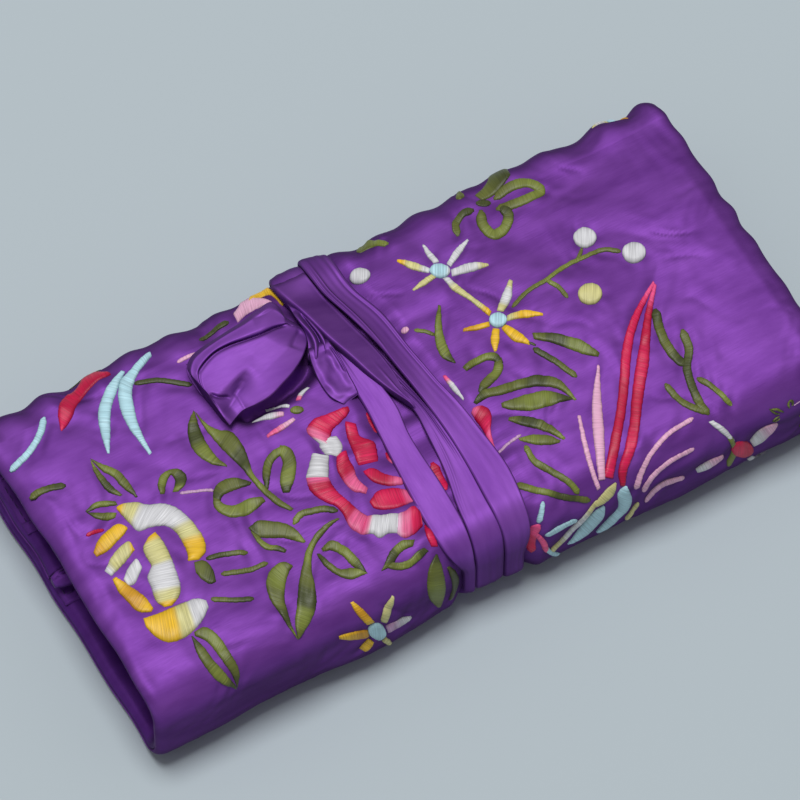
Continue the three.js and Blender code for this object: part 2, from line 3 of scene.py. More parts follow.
import bpy
import numpy as np
from mathutils import Matrix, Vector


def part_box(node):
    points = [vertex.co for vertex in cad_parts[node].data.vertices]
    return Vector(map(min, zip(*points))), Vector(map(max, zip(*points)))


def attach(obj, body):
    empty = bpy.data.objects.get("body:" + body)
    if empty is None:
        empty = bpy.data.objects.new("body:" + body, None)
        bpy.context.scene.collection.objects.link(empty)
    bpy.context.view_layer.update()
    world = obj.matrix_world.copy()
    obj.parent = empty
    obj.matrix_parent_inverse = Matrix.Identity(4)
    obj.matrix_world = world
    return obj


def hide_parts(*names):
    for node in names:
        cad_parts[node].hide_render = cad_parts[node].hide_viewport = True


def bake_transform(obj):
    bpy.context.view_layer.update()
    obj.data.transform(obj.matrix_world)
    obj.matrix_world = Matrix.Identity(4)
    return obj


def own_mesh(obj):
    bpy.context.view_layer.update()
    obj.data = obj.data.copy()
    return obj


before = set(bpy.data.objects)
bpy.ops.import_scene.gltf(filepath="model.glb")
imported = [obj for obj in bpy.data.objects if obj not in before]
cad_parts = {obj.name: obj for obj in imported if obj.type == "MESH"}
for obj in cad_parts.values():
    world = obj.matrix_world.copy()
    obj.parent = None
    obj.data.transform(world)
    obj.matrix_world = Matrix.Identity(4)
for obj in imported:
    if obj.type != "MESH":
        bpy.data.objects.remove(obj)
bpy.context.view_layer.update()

# The camera stands off the roll's near long side and looks steeply down, from a long way away.
# Lengths here and below are in millimetres; meshes are made in metres.
azimuth = math.radians(-29.8)
elevation = math.radians(59.8)
pixels_per_mm = 3.92
camera_distance = 2000.0
roll_middle = np.array([0.0, 0.0, 15.0])
middle_pixel = (409, 423)
frame_pixels = 800
sensor_width = 36.0
mm = 0.001
up_axis = (0, 0, 1)

view_right = np.array([math.cos(azimuth), math.sin(azimuth), 0.0])
view_back = np.array([math.sin(azimuth) * math.cos(elevation),
                      -math.cos(azimuth) * math.cos(elevation), math.sin(elevation)])
view_up = np.cross(view_back, view_right)
aim_right = (frame_pixels / 2 - middle_pixel[0]) / pixels_per_mm
aim_up = (middle_pixel[1] - frame_pixels / 2) / pixels_per_mm
aim = roll_middle + aim_right * view_right + aim_up * view_up
eye = aim + view_back * camera_distance
camera_data = bpy.data.cameras.new("camera")
camera_data.sensor_width = sensor_width
camera_data.lens = pixels_per_mm * camera_distance * sensor_width / frame_pixels
camera = bpy.data.objects.new("camera", camera_data)
bpy.context.scene.collection.objects.link(camera)
place = Matrix(np.column_stack([view_right, view_up, view_back]).tolist()).to_4x4()
place.translation = eye * mm
camera.matrix_world = place
bpy.context.scene.camera = camera


def sight(pixels):
    """Direction of the line of sight through each pixel: minus back, plus right and up in the
    pixel's share of the distance."""
    pixels = np.asarray(pixels, float)
    right = (pixels[..., 0] - frame_pixels / 2) / pixels_per_mm
    up = (frame_pixels / 2 - pixels[..., 1]) / pixels_per_mm
    return (right[..., None] * view_right + up[..., None] * view_up
            - camera_distance * view_back)


# The padded strip: satin outside, wadding between, rolled up in four folds. Its section is
# straight lengths joined by quarter rounds; s runs along its outer face, 0 at the top's middle.
flat_edge = 39.0
fold_radius = 10.0
flap_fold_radius = 8.0
roll_height = 30.0
spine_height = 10.0
far_spine_height = 5.4
bottom_far_edge = 41.0
flap_edge = 9.0
flap_lift = 6.6
panel_thickness = 4.5
half_length = 100.0
quarter = math.pi / 2
half_width = flat_edge + fold_radius

# Length, place and outward heading in degrees at its start, and radius of a round, else 0.
section_parts = [
    (bottom_far_edge + flat_edge, bottom_far_edge, 0, -90, 0),
    (fold_radius * quarter, -flat_edge, fold_radius, -90, fold_radius),
    (spine_height, -half_width, fold_radius, 180, 0),
    (fold_radius * quarter, -flat_edge, roll_height - fold_radius, 180, fold_radius),
    (2 * flat_edge, -flat_edge, roll_height, 90, 0),
    (fold_radius * quarter, flat_edge, roll_height - fold_radius, 90, fold_radius),
    (far_spine_height, half_width, roll_height - fold_radius, 0, 0),
    (flap_fold_radius * quarter, bottom_far_edge, flap_lift + flap_fold_radius, 0,
     flap_fold_radius),
    (bottom_far_edge - flap_edge, bottom_far_edge, flap_lift, -90, 0),
]
near_spine_middle = -flat_edge - fold_radius * quarter - spine_height / 2
far_spine_middle = flat_edge + fold_radius * quarter + far_spine_height / 2
section_start = near_spine_middle - spine_height / 2 - section_parts[1][0] - section_parts[0][0]
section_end = section_start + sum(part[0] for part in section_parts)


def follow(parts, start, s):
    """Point and outward direction in the section at length s: each part adds its length along a
    straight line, or its length over its radius as an angle on a round."""
    s = np.asarray(s, float)
    y, z, ny, nz = (np.zeros_like(s) for _ in range(4))
    for index, (length, y0, z0, heading, radius) in enumerate(parts):
        last = index == len(parts) - 1
        here = (s >= start if index else s >= -np.inf) & (s < (np.inf if last else start + length))
        run = s[here] - start
        angle = math.radians(heading) - (run / radius if radius else 0 * run)
        ny[here], nz[here] = np.cos(angle), np.sin(angle)
        if radius:
            y[here], z[here] = y0 + radius * np.cos(angle), z0 + radius * np.sin(angle)
        else:
            y[here], z[here] = y0 + run * np.sin(angle), z0 - run * np.cos(angle)
        start += length
    return y, z, ny, nz


def on_strip(x, s, out):
    """Point over the strip's outer face: its section at s, moved outwards by out."""
    x, s, out = np.broadcast_arrays(x, s, out)
    y, z, ny, nz = follow(section_parts, section_start, s)
    return np.stack([x, y + ny * out, z + nz * out], axis=-1)


# Lengths along the section between the near and the far outline that the camera sees.
look_table = np.linspace(-69.4, 50.0, 900)
stitch_level = 0.8


def seen_on_strip(pixels, out=stitch_level):
    """(x, s) of the strip seen in each pixel: the s at which the section, moved outwards by out,
    crosses the line of sight in the plane across the roll, between the near and the far outline."""
    ray = sight(pixels)
    y, z, ny, nz = follow(section_parts, section_start, look_table)
    y, z = y + ny * out - eye[1], z + nz * out - eye[2]
    miss = y * ray[..., 2, None] - z * ray[..., 1, None]
    below = miss < 0
    after = np.where(below.any(-1), np.argmax(below, axis=-1), len(look_table) - 1).clip(1)
    near, far = (np.take_along_axis(miss, (after - k)[..., None], -1)[..., 0] for k in (1, 0))
    share = np.clip(near / (near - far), 0, 1)
    s = look_table[after - 1] + share * (look_table[1] - look_table[0])
    y, z, ny, nz = follow(section_parts, section_start, s)
    run = ((y + ny * out - eye[1]) * ray[..., 1] + (z + nz * out - eye[2]) * ray[..., 2])
    run = run / (ray[..., 1] ** 2 + ray[..., 2] ** 2)
    return np.stack([eye[0] + ray[..., 0] * run, s], axis=-1)


def curve(text):
    """Points of a curve, from their places written as x,y in pixels."""
    return np.array([pair.split(",") for pair in text.split()], float)


def steps(points):
    """Distance from each point of a line to the next."""
    return np.linalg.norm(np.diff(points, axis=0), axis=1)


def lengths_to(points):
    """Length along a line up to each of its points."""
    return np.concatenate([[0], np.cumsum(steps(points))])


def through(points, count):
    """Smooth curve through the points: cubic between neighbours, with slopes from the points on
    either side, taken at count even steps of length."""
    points = np.asarray(points, float)
    at = lengths_to(points)
    slope = np.gradient(points, at, axis=0)
    t = np.linspace(0, at[-1], count)
    i = np.clip(np.searchsorted(at, t, side="right") - 1, 0, len(at) - 2)
    span = (at[i + 1] - at[i])[:, None]
    f = ((t - at[i])[:, None]) / span
    return ((2 * f**3 - 3 * f**2 + 1) * points[i] + (f**3 - 2 * f**2 + f) * span * slope[i]
            + (3 * f**2 - 2 * f**3) * points[i + 1] + (f**3 - f**2) * span * slope[i + 1])


def cloth_waves(x, s, length, heading=0.0, spread=3.0, seed=0, count=14):
    """Sum of sine waves of about one length, with seeded directions spread about a heading."""
    rng = np.random.default_rng(seed)
    angles = heading + spread * (rng.random(count) - 0.5)
    rates = 2 * np.pi / (length * rng.uniform(0.75, 1.45, count))
    phases = rng.uniform(0, 2 * np.pi, count)
    total = 0
    for angle, rate, phase in zip(angles, rates, phases):
        total = total + np.sin(rate * (x * np.cos(angle) + s * np.sin(angle)) + phase)
    return total / math.sqrt(count / 2)


def linear(red, green, blue):
    """Shader value of a colour given in 0 to 255, by the usual screen curve."""
    share = np.array([red, green, blue]) / 255
    return np.where(share > 0.04045, ((share + 0.055) / 1.055) ** 2.4, share / 12.92)


# The embroidery is worked on the flat satin before the strip is padded, so its drawing comes
# first: each form is two side curves between which the stitches run, in pixels of the photograph.
threads = {
    "olive": linear(98, 104, 46), "dark_olive": linear(68, 74, 36), "green": linear(120, 130, 56),
    "yellow": linear(234, 186, 40), "orange": linear(206, 150, 34), "cream": linear(208, 202, 138),
    "white": linear(212, 212, 216), "red": linear(212, 24, 82), "crimson": linear(186, 12, 64),
    "rose": linear(228, 96, 146), "pink": linear(230, 174, 204), "blue": linear(178, 218, 230),
    "coral": linear(238, 84, 142), "mauve": linear(196, 154, 192),
}
fewest_rows = 8
wide_row_pixels = 1.9
narrow_row_pixels = 1.7


def laid(side_a, side_b, colours, height):
    """A form of satin stitch: its side curves as (x, s) on the strip, its bands of colour in turn
    along it, and its height."""
    spots = seen_on_strip(np.stack([side_a, side_b]))
    return dict(spots=spots, colours=colours.split(), height=height)


def between(side_a, side_b, colours, height=0.75):
    """A form whose stitches run from one side curve to the other."""
    side_a, side_b = curve(side_a), curve(side_b)
    span = max(steps(side_a).sum(), steps(side_b).sum())
    count = int(max(fewest_rows, span / wide_row_pixels))
    return laid(through(side_a, count), through(side_b, count), colours, height)


def along(line, width, colours, height=0.6):
    """A narrow form of one width in pixels along a line, rounded off at both ends."""
    line = curve(line)
    span = steps(line).sum()
    count = int(max(fewest_rows, span / narrow_row_pixels))
    middle = through(line, count)
    run = np.gradient(middle, axis=0)
    side = np.stack([-run[:, 1], run[:, 0]], 1) / np.linalg.norm(run, axis=1)[:, None]
    t = np.linspace(0, 1, count)
    ends = np.minimum(t, 1 - t) * span / width
    half = (width / 2 * np.clip(ends * 2, 0.2, 1) ** 0.6)[:, None]
    return laid(middle - side * half, middle + side * half, colours, height)


def spot(cx, cy, rx, ry, colours, height=1.0):
    """A round or oval dot of satin stitch."""
    t = np.linspace(0.04, 0.96, 15) * np.pi
    x, rise = cx - rx * np.cos(t), ry * np.sin(t)
    return laid(np.stack([x, cy - rise], 1), np.stack([x, cy + rise], 1), colours, height)


drawing = {"blue_spray": [
    between("108,368 91,370 71,383 62,392 57,408 60,428",
            "110,371 98,379 84,389 78,401 73,415 62,430", "crimson crimson red"),
    between("119,366 105,386 97,410 101,435 107,453",
            "124,367 119,385 112,406 111,430 110,453", "blue"),
    between("149,348 134,361 120,375 117,388 119,406 129,428 144,448 149,455",
            "151,353 140,369 133,387 136,410 143,433 152,452", "blue"),
    along("86,536 95,532 104,529", 4, "crimson"),
    along("134,381 160,379 192,383", 6, "dark_olive"),
    along("177,360 188,354 199,350", 4.5, "pink"),
    along("10,470 28,452 40,432 44,414", 8, "blue"),
    along("30,499 38,493 50,488 66,486", 8, "olive dark_olive"),
], "left_leaves": [
    between("90,458 104,464 119,470 129,481 138,497",
            "92,461 103,472 112,477 120,486 136,498", "olive green olive dark_olive"),
    between("90,460 93,471 99,482 107,492 120,497",
            "92,461 101,472 107,479 114,487 123,495", "green olive dark_olive olive"),
    between("160,495 157,484 160,475 167,470 175,468",
            "165,494 167,484 169,478 171,475 176,474", "olive green olive"),
    between("172,468 181,469 187,475 186,485 179,492",
            "170,474 174,479 174,484 173,489 172,492", "olive dark_olive green"),
    along("180,494 198,492 214,491", 3.5, "mauve"),
    between("85,512 93,504 104,501 115,501",
            "88,513 98,509 108,507 118,506", "dark_olive green olive"),
    between("86,513 96,520 106,521 115,518",
            "90,513 100,513 110,512 117,512", "dark_olive olive green"),
    between("194,562 204,559 213,568 216,580",
            "196,574 203,582 210,585 216,582", "olive dark_olive"),
    along("206,559 225,554 248,552", 6, "dark_olive olive"),
    along("221,574 246,570 268,562", 6, "olive"),
    along("211,599 232,600 254,598", 6, "olive dark_olive"),
    between("191,636 196,652 206,668 220,684 238,692",
            "193,636 205,646 214,658 226,672 238,688", "dark_olive olive green dark_olive"),
    between("194,632 204,626 218,634 232,653 241,672 239,690",
            "195,636 206,641 216,652 226,666 234,678 238,688", "olive green olive dark_olive"),
], "yellow_peony": [
    between("116,507 124,503 134,501 150,503 168,503 184,512 196,525 206,541 207,551 200,560",
            "117,510 124,519 131,527 137,533 150,529 166,527 175,533 181,543 186,553 187,562",
            "yellow cream white white white cream yellow yellow", 0.9),
    between("93,552 98,538 107,529 118,523 127,527",
            "97,557 110,550 117,543 124,536 128,529", "orange yellow yellow", 0.9),
    between("104,571 112,555 120,546 129,541 134,549",
            "112,577 122,567 128,560 132,555 135,551", "white cream cream yellow"),
    between("123,579 128,567 136,558 142,567", "128,586 134,586 139,578 142,570", "white"),
    between("147,539 142,550 146,560 150,566 146,578 150,590 155,602 164,608",
            "156,532 164,541 170,552 174,562 178,572 182,584 181,596 173,606",
            "yellow cream cream white white cream yellow", 0.95),
    between("112,580 118,592 127,603 139,613 151,613",
            "116,577 127,583 137,590 146,597 154,608", "yellow orange yellow", 0.9),
    between("143,618 156,613 172,606 184,601 195,598 206,600",
            "146,628 156,638 169,644 187,638 201,625 209,608",
            "yellow yellow yellow cream white white", 0.9),
], "large_leaves": [
    between("193,409 187,425 188,440 196,455 209,464 227,468",
            "195,411 200,425 205,437 212,449 219,458 227,466", "olive dark_olive green olive"),
    between("195,410 206,422 217,428 231,430 243,444 250,462 253,472 266,487 280,499 294,509",
            "196,413 206,430 216,443 227,456 238,466 247,476 258,489 268,499 280,508 291,512",
            "olive green olive dark_olive green olive olive", 0.8),
    between("265,490 262,476 264,461 272,451 285,445",
            "269,489 271,476 273,465 277,459 284,455", "dark_olive olive green", 0.8),
    between("280,445 291,448 297,461 296,478 290,493",
            "279,455 282,463 280,473 279,483 282,493", "green olive green dark_olive", 0.8),
    between("213,502 213,490 221,481 236,478 252,482",
            "220,504 224,497 230,494 239,490 250,486", "dark_olive olive dark_olive", 0.8),
    between("212,496 214,509 226,518 244,518 266,502",
            "219,500 225,505 236,505 246,499 262,497", "olive green green olive", 0.8),
    between("248,528 257,520 272,520 290,524 298,530 306,540",
            "251,531 258,537 272,538 285,538 294,540 304,542", "dark_olive olive olive green"),
    between("250,531 256,541 265,549 275,550 285,552",
            "255,530 261,537 270,543 279,544 287,548", "olive green dark_olive"),
    along("293,524 301,515 312,512 325,510 338,512", 7.5, "green olive dark_olive"),
    between("299,641 289,627 278,611 268,596 265,582 271,566 281,560 292,563",
            "298,637 293,625 289,611 286,600 286,588 288,576 291,568 293,565",
            "green dark_olive olive green olive", 0.85),
    between("300,641 312,624 318,605 316,585 312,565 314,548 326,532 340,520",
            "298,637 295,620 296,600 298,580 302,562 306,548 318,530 337,519",
            "olive green dark_olive olive green olive olive", 0.85),
    between("321,547 330,540 343,544 356,555 368,572",
            "323,551 333,551 343,557 350,564 361,573", "olive green dark_olive", 0.8),
    between("316,552 323,564 336,574 350,579 368,573",
            "320,552 330,561 341,568 352,566 365,570", "dark_olive olive green", 0.8),
    between("415,538 401,540 390,550 384,563 381,571",
            "413,546 405,549 399,555 396,560 389,567", "olive green dark_olive olive", 0.8),
    between("384,567 396,570 408,569 420,561 430,550",
            "391,560 400,561 410,557 416,551 424,546", "olive green dark_olive", 0.8),
    between("437,553 430,570 429,590 433,606 440,612",
            "440,554 447,570 450,590 448,604 443,612", "dark_olive olive green olive", 0.85),
    between("452,572 455,584 456,594 452,606", "456,572 464,582 467,592 456,606", "dark_olive"),
], "blue_star": [
    spot(378, 633, 8.5, 8.5, "blue", 1.0),
    between("368,628 358,616 351,603", "377,624 367,612 355,601", "yellow orange yellow"),
    between("382,624 386,609 393,596", "389,626 395,612 396,598", "cream"),
    between("387,628 400,622 413,619", "389,635 401,630 414,621", "mauve white"),
    between("370,632 356,634 341,639", "370,639 356,643 342,643", "orange yellow"),
    between("369,640 364,645 360,650", "375,643 370,649 366,652", "yellow"),
    between("382,642 386,645 389,646", "387,638 391,641 393,644", "cream"),
], "red_peony": [
    between("348,407 336,411 327,415 310,423 305,431 318,444",
            "350,412 347,417 340,425 333,433 332,437 335,452",
            "crimson red red red rose white", 0.9),
    between("320,440 318,446 324,455", "338,436 344,446 340,457", "white", 0.85),
    between("311,455 308,466 304,479", "330,456 330,468 330,480", "white", 0.9),
    between("304,479 309,492 323,503 337,509 343,517 350,530 361,537",
            "330,478 336,489 346,499 352,504 357,508 362,512 368,515",
            "rose crimson red red crimson rose rose", 0.9),
    between("361,537 372,536 380,540 388,535 398,534",
            "367,515 375,514 383,514 391,513 399,513", "rose white white white", 0.9),
    between("397,535 404,539 414,535 423,524",
            "398,513 406,509 413,504 421,511", "pink rose red crimson", 0.9),
    between("344,422 346,436 352,454 357,465",
            "357,424 360,434 376,442 380,459", "red crimson red", 0.85),
    between("336,456 336,469 343,483 354,493 366,495",
            "347,450 350,459 355,467 358,478 368,488", "red crimson rose rose", 0.85),
    between("363,470 371,466 384,472 403,477",
            "365,474 372,482 386,486 403,484", "red crimson rose", 0.8),
    between("369,502 376,491 392,486 409,487",
            "374,509 384,511 398,509 414,501", "crimson red red rose", 0.85),
    along("367,411 372,420 378,430", 6, "crimson"),
    along("386,450 390,456 395,462", 6, "crimson rose"),
    between("424,522 425,532 431,545", "426,521 434,532 440,545", "crimson red", 0.8),
    along("432,462 438,474 446,490", 12, "crimson red", 0.6),
], "white_star": [
    spot(440, 270, 10.5, 8.5, "blue blue white", 1.0),
    between("433,263 427,255 422,243", "440,261 432,250 424,242", "white"),
    between("446,262 454,249 467,237", "451,266 463,250 469,239", "white"),
    between("451,268 470,261 488,262", "452,276 470,272 489,265", "white white cream"),
    between("430,267 412,260 397,258", "429,273 411,269 397,261", "white cream yellow"),
    between("431,273 420,281 412,289", "437,277 426,285 414,291", "cream"),
    between("442,278 452,290 468,300 489,317",
            "449,276 460,286 474,297 492,311", "white cream cream yellow"),
], "yellow_star": [
    spot(498, 320, 9, 8.5, "blue", 1.0),
    between("496,311 501,295 509,279", "504,312 512,298 513,281", "cream white cream"),
    between("507,315 524,310 543,314", "507,322 524,319 543,317", "cream yellow yellow"),
    between("506,324 520,332 531,344", "501,329 513,342 529,346", "yellow"),
    between("500,329 500,340 497,351", "492,328 490,341 494,352", "yellow"),
    between("489,321 476,324 463,328", "490,327 477,330 463,332", "yellow orange"),
], "berries": [
    spot(585, 237, 11.8, 11.8, "white", 1.3),
    spot(634, 253, 12, 12, "white", 1.3),
    spot(590, 296, 12.3, 12.3, "cream", 1.3),
    spot(360, 274, 10.5, 9.5, "white", 1.2),
    along("512,307 526,293 547,280 566,266 585,257 603,250 621,252", 5.5, "olive green olive"),
    along("546,281 558,288 568,300", 5.5, "green olive"),
    along("575,262 580,254 582,247", 4.5, "olive"),
], "top_leaves": [
    along("481,207 483,222 494,232 505,225 508,211 499,203", 12, "olive green dark_olive", 0.8),
    along("474,207 463,211 456,221 458,234", 9, "dark_olive olive"),
    spot(483, 199, 8, 5, "dark_olive", 0.5),
    along("493,194 512,184 531,181 541,187 529,196 512,202 496,206", 11, "olive green olive"),
    between("473,191 489,176 505,167", "482,196 499,188 511,175", "olive dark_olive"),
    along("455,196 463,192", 6, "olive"),
    along("354,245 370,239 388,241", 7, "olive green"),
    along("414,330 424,331 435,334", 4.5, "green olive"),
    between("438,304 435,318 434,332 436,347 442,358 455,363",
            "441,305 442,318 444,332 448,345 452,354 456,361",
            "olive green green dark_olive", 0.8),
    spot(405, 329, 4, 4, "pink", 0.7),
    between("462,367 472,358 485,353 497,353 504,362",
            "467,372 477,365 487,361 494,362 497,367", "olive green dark_olive", 0.8),
    between("502,357 504,368 498,380 490,388 480,395",
            "494,361 492,370 484,378 479,385 478,393", "olive green olive dark_olive", 0.8),
    between("532,334 548,333 566,336 584,342 600,353",
            "534,341 550,344 566,349 582,355 598,358", "olive dark_olive green olive"),
    along("533,349 554,361 577,377", 7, "dark_olive olive"),
    between("473,404 481,392 497,387 517,380 540,375 559,379 577,399",
            "477,406 488,400 502,397 520,391 540,388 558,390 574,400",
            "dark_olive olive olive dark_olive olive green", 0.85),
    between("501,404 512,399 527,394 545,390 572,397",
            "502,409 517,412 534,412 553,406 573,399", "olive green dark_olive", 0.8),
    between("509,418 522,416 540,419 552,425 566,438",
            "508,423 522,427 538,430 550,434 563,440", "olive dark_olive olive green", 0.8),
    between("518,438 535,434 550,435 561,440",
            "520,441 532,445 545,446 559,443", "green olive", 0.75),
    along("525,446 533,459 548,468 563,476 573,484 581,495", 7.5, "green olive green"),
    along("515,482 530,487 548,491 565,497 593,503", 8.5, "olive green dark_olive olive"),
    along("498,452 508,444 521,435", 3.5, "mauve"),
    between("442,376 450,387 463,402", "446,375 455,384 464,400", "coral white white", 0.7),
    between("473,408 484,406 491,411 492,421 491,430 493,440 497,450",
            "471,413 475,421 480,428 484,435 489,443 495,451",
            "rose crimson red coral rose", 0.85),
    along("500,317 508,330 520,340 536,346", 3, "dark_olive"),
], "crimson_blades": [
    between("653,280 641,299 632,316 625,334 621,352 619,378 615,413 609,443 605,477",
            "655,283 647,301 640,318 635,336 632,354 630,379 626,413 621,443 616,480",
            "coral red red crimson crimson red", 0.85),
    between("654,282 645,310 640,338 635,365 631,395 629,420 624,448 620,471 623,489",
            "657,285 653,310 651,338 650,361 645,390 641,420 637,448 630,471 628,489",
            "coral crimson red crimson red crimson", 0.85),
    between("577,415 583,448 592,475 599,492", "581,415 589,446 597,472 603,489", "pink"),
    between("597,365 592,395 592,430 595,452 600,481",
            "600,366 602,395 605,430 606,452 608,480", "pink"),
    along("694,417 666,436 649,459 638,493", 6, "pink"),
    along("696,450 670,463 654,478 645,495", 5.5, "pink"),
    along("686,479 663,487 647,505", 5, "pink"),
    between("618,484 610,489 602,499 595,510", "620,486 618,497 609,506 597,512", "cream"),
    along("601,503 587,522 572,538 553,556", 5.2, "cream white cream"),
    between("627,488 620,497 620,510 611,522 599,537",
            "630,489 635,502 631,514 619,527 600,538", "blue"),
    between("606,509 598,514 587,525 579,537 570,548",
            "608,511 606,522 597,533 584,543 571,549", "blue"),
    along("641,506 635,514 628,524", 4, "cream"),
    along("543,528 538,543 535,560", 9, "coral red"),
    along("536,540 545,545 549,556", 7, "coral"),
    along("544,501 543,514 542,526", 6, "blue"),
    along("548,540 562,532 580,524", 5.5, "blue"),
    along("546,549 553,556 563,560", 5.5, "blue"),
], "right_leaves": [
    along("655,308 661,332 674,354 686,364", 11, "dark_olive olive dark_olive", 0.75),
    along("682,329 689,349 687,365 692,384 701,403 710,414", 10, "olive dark_olive olive"),
    along("665,383 682,400 708,412", 8, "olive"),
    along("697,376 716,388 733,405", 6.5, "olive green"),
    along("730,436 736,452 729,468", 6, "green"),
], "right_flower": [
    between("709,422 722,434 734,445", "715,420 728,430 737,443", "white"),
    between("697,471 710,463 724,456", "699,475 713,469 726,461", "white pink"),
    spot(744, 452, 11, 9, "red crimson", 0.9),
    between("752,444 764,430 778,424", "756,450 770,441 780,428", "white pink"),
    between("754,458 768,464 780,474", "748,462 760,474 777,478", "white"),
], "white_flower": [
    spot(297, 412, 7, 4.5, "green olive", 0.7),
    between("265,401 276,401 290,406", "266,404 277,407 289,410", "white"),
    between("301,402 305,395 310,390", "295,402 299,393 307,388", "rose white white"),
    between("252,418 268,412 284,413", "252,421 268,421 284,418", "white white pink"),
    between("266,436 278,427 293,419", "268,439 283,432 296,422", "rose pink"),
], "far_petals": [
    between("242,299 255,289 268,285 284,294", "246,299 257,293 268,290 282,301", "yellow"),
    between("231,308 240,297 254,292 271,296", "238,321 245,313 256,306 270,300", "pink"),
    along("198,334 212,325 228,318", 6, "dark_olive"),
    along("60,372 78,360 92,352", 6, "olive"),
]}


def copy_motif(source, name, at, turn, share=1.0):
    """The same flower worked again at another (x, s): turned and scaled about its middle."""
    spots = np.concatenate([form["spots"].reshape(-1, 2) for form in drawing[source]])
    middle = (spots.max(0) + spots.min(0)) / 2
    spin = np.array([[math.cos(turn), -math.sin(turn)], [math.sin(turn), math.cos(turn)]]) * share
    for form in drawing[source]:
        moved = (form["spots"] - middle) @ spin.T + np.asarray(at)
        drawing.setdefault(name, []).append(dict(form, spots=moved))


# Where the photograph shows little or nothing, the same flowers are worked again: source, new motif,
# (x, s), turn and share.
for repeat in (("yellow_peony", "bottom_flowers", (62, -118), 2.4),
               ("red_peony", "bottom_flowers", (-60, -130), 1.2),
               ("large_leaves", "bottom_flowers", (14, -112), 3.6),
               ("yellow_star", "bottom_flowers", (-22, -140), 0.8),
               ("white_star", "bottom_flowers", (84, -142), 2.0),
               ("berries", "bottom_flowers", (-62, -88), 1.0, 0.5),
               ("yellow_star", "back_flowers", (88, 51), 2.6, 0.5),
               ("left_leaves", "near_spray", (86, -56), 0.6, 0.28)):
    copy_motif(*repeat)

# Share of the satin covered by stitching, on a grid of x and s, softened over stitch_reach.
field_step = 0.5
field_x = np.arange(-110, 110, field_step)
field_s = np.arange(-172, 112, field_step)
stitch_reach = 1.5
field = np.zeros((len(field_x), len(field_s)))
for forms in drawing.values():
    for form in forms:
        share = np.linspace(0, 1, 9)[:, None, None]
        cells = form["spots"][0] * (1 - share) + form["spots"][1] * share
        column = ((cells[..., 0] - field_x[0]) / field_step).astype(int).clip(0, len(field_x) - 1)
        row = ((cells[..., 1] - field_s[0]) / field_step).astype(int).clip(0, len(field_s) - 1)
        field[column, row] = 1
rate_x = np.fft.fftfreq(len(field_x), field_step)[:, None]
rate_s = np.fft.fftfreq(len(field_s), field_step)[None, :]
soften = np.exp(-2 * (np.pi * stitch_reach) ** 2 * (rate_x**2 + rate_s**2))
field = np.real(np.fft.ifft2(np.fft.fft2(field) * soften)).clip(0, 1)


def stitched(x, s):
    """Share of stitching at (x, s), read between the four nearest cells of the grid."""
    u = ((x - field_x[0]) / field_step).clip(0, len(field_x) - 1.01)
    v = ((s - field_s[0]) / field_step).clip(0, len(field_s) - 1.01)
    i, j = u.astype(int), v.astype(int)
    f, g = u - i, v - j
    return ((field[i, j] * (1 - f) + field[i + 1, j] * f) * (1 - g)
            + (field[i, j + 1] * (1 - f) + field[i + 1, j + 1] * f) * g)


# The tie's visible passes over the roll, left and right edge of each from far side to near side,
# in pixels: the under pass from the knot, the broad middle one and the one on the right.
pass_edges = [
    ("318,330 330,350 347,378 366,408 382,440 404,483 428,525 452,560 463,574 472,586",
     "340,338 362,362 385,390 396,404 408,432 422,455 436,475 450,497 462,518 471,538 478,558 "
     "482,577"),
    ("268,283 285,300 304,318 322,336 345,356 370,378 392,393 408,402 416,412 422,425 431,443 "
     "441,463 449,482 454,498 463,519 472,539 479,559 483,577",
     "303,268 325,293 345,312 365,332 385,353 400,370 420,397 446,432 462,455 477,482 489,504 "
     "502,527 509,547 511,563"),
    ("297,266 312,281 326,297 340,309 360,328 380,349 397,370 412,388 428,409 445,432 460,455 "
     "475,480 487,502 500,525 508,545 511,563",
     "330,256 338,264 347,277 356,288 368,298 380,308 391,321 400,334 412,350 425,365 440,383 "
     "455,398 468,413 481,430 495,447 508,465 518,485 526,505 533,525 536,540 534,552 530,561"),
]
pass_top = 1.4
edge_spots = [[seen_on_strip(through(curve(edge), 40), pass_top) for edge in edges]
              for edges in pass_edges]


def edge_x(edge, s):
    """x of a pass's edge at s, held beyond its ends."""
    return np.interp(s, edge[::-1, 1], edge[::-1, 0])


# The cover is one padded length of satin for each length of the strip. It rises over the ideal
# section in a soft crown and slack waves, and gives way under the tie and round the stitching.
groove_start_x = -15.0
groove_end_x = 13.6
groove_depth = 1.7
wadding_depth = 3.7
near_bite_depth = 3.7
near_sink = 3.2
hollow_depth = 4.4
hollow_reach = 2.5
crown = 1.3
far_crown = 2.8
slack_height, slack_length = 0.34, 38
ripple_height, ripple_length = 0.1, 15
crease_depth, crease_spacing = 0.3, 24
fine_height, fine_length = 0.02, 5
stitch_sink = 0.5
plain_pucker, stitch_pucker, pucker_length = 0.014, 0.09, 6.4
tie_pinch, far_tie_pinch = 0.75, 1.1
fan_height, fan_length = 0.26, 7.5
far_edge_height, far_edge_length = 0.5, 14
under_sink = 0.75
pass_change_s = 20


def tie_distance(x, s):
    """Distance in x outside the band that the tie covers, less than 0 inside it. Its left edge is
    the under pass's on the near side of pass_change_s, and the broad one's beyond."""
    left = np.where(s < pass_change_s, edge_x(edge_spots[0][0], s), edge_x(edge_spots[1][0], s))
    return np.maximum(left - x, x - edge_x(edge_spots[2][1], s))


def there_and_back(face, back):
    """A row's places over the face and back along its other side, and which lie on the face."""
    on_face = np.arange(len(face) + len(back)) < len(face)
    return np.concatenate([face, back])[None, :], on_face[None, :]


def step_up(value, low, high):
    """0 below low, 1 above high, and the smooth cubic between."""
    t = np.clip((value - low) / (high - low), 0, 1)
    return t * t * (3 - 2 * t)


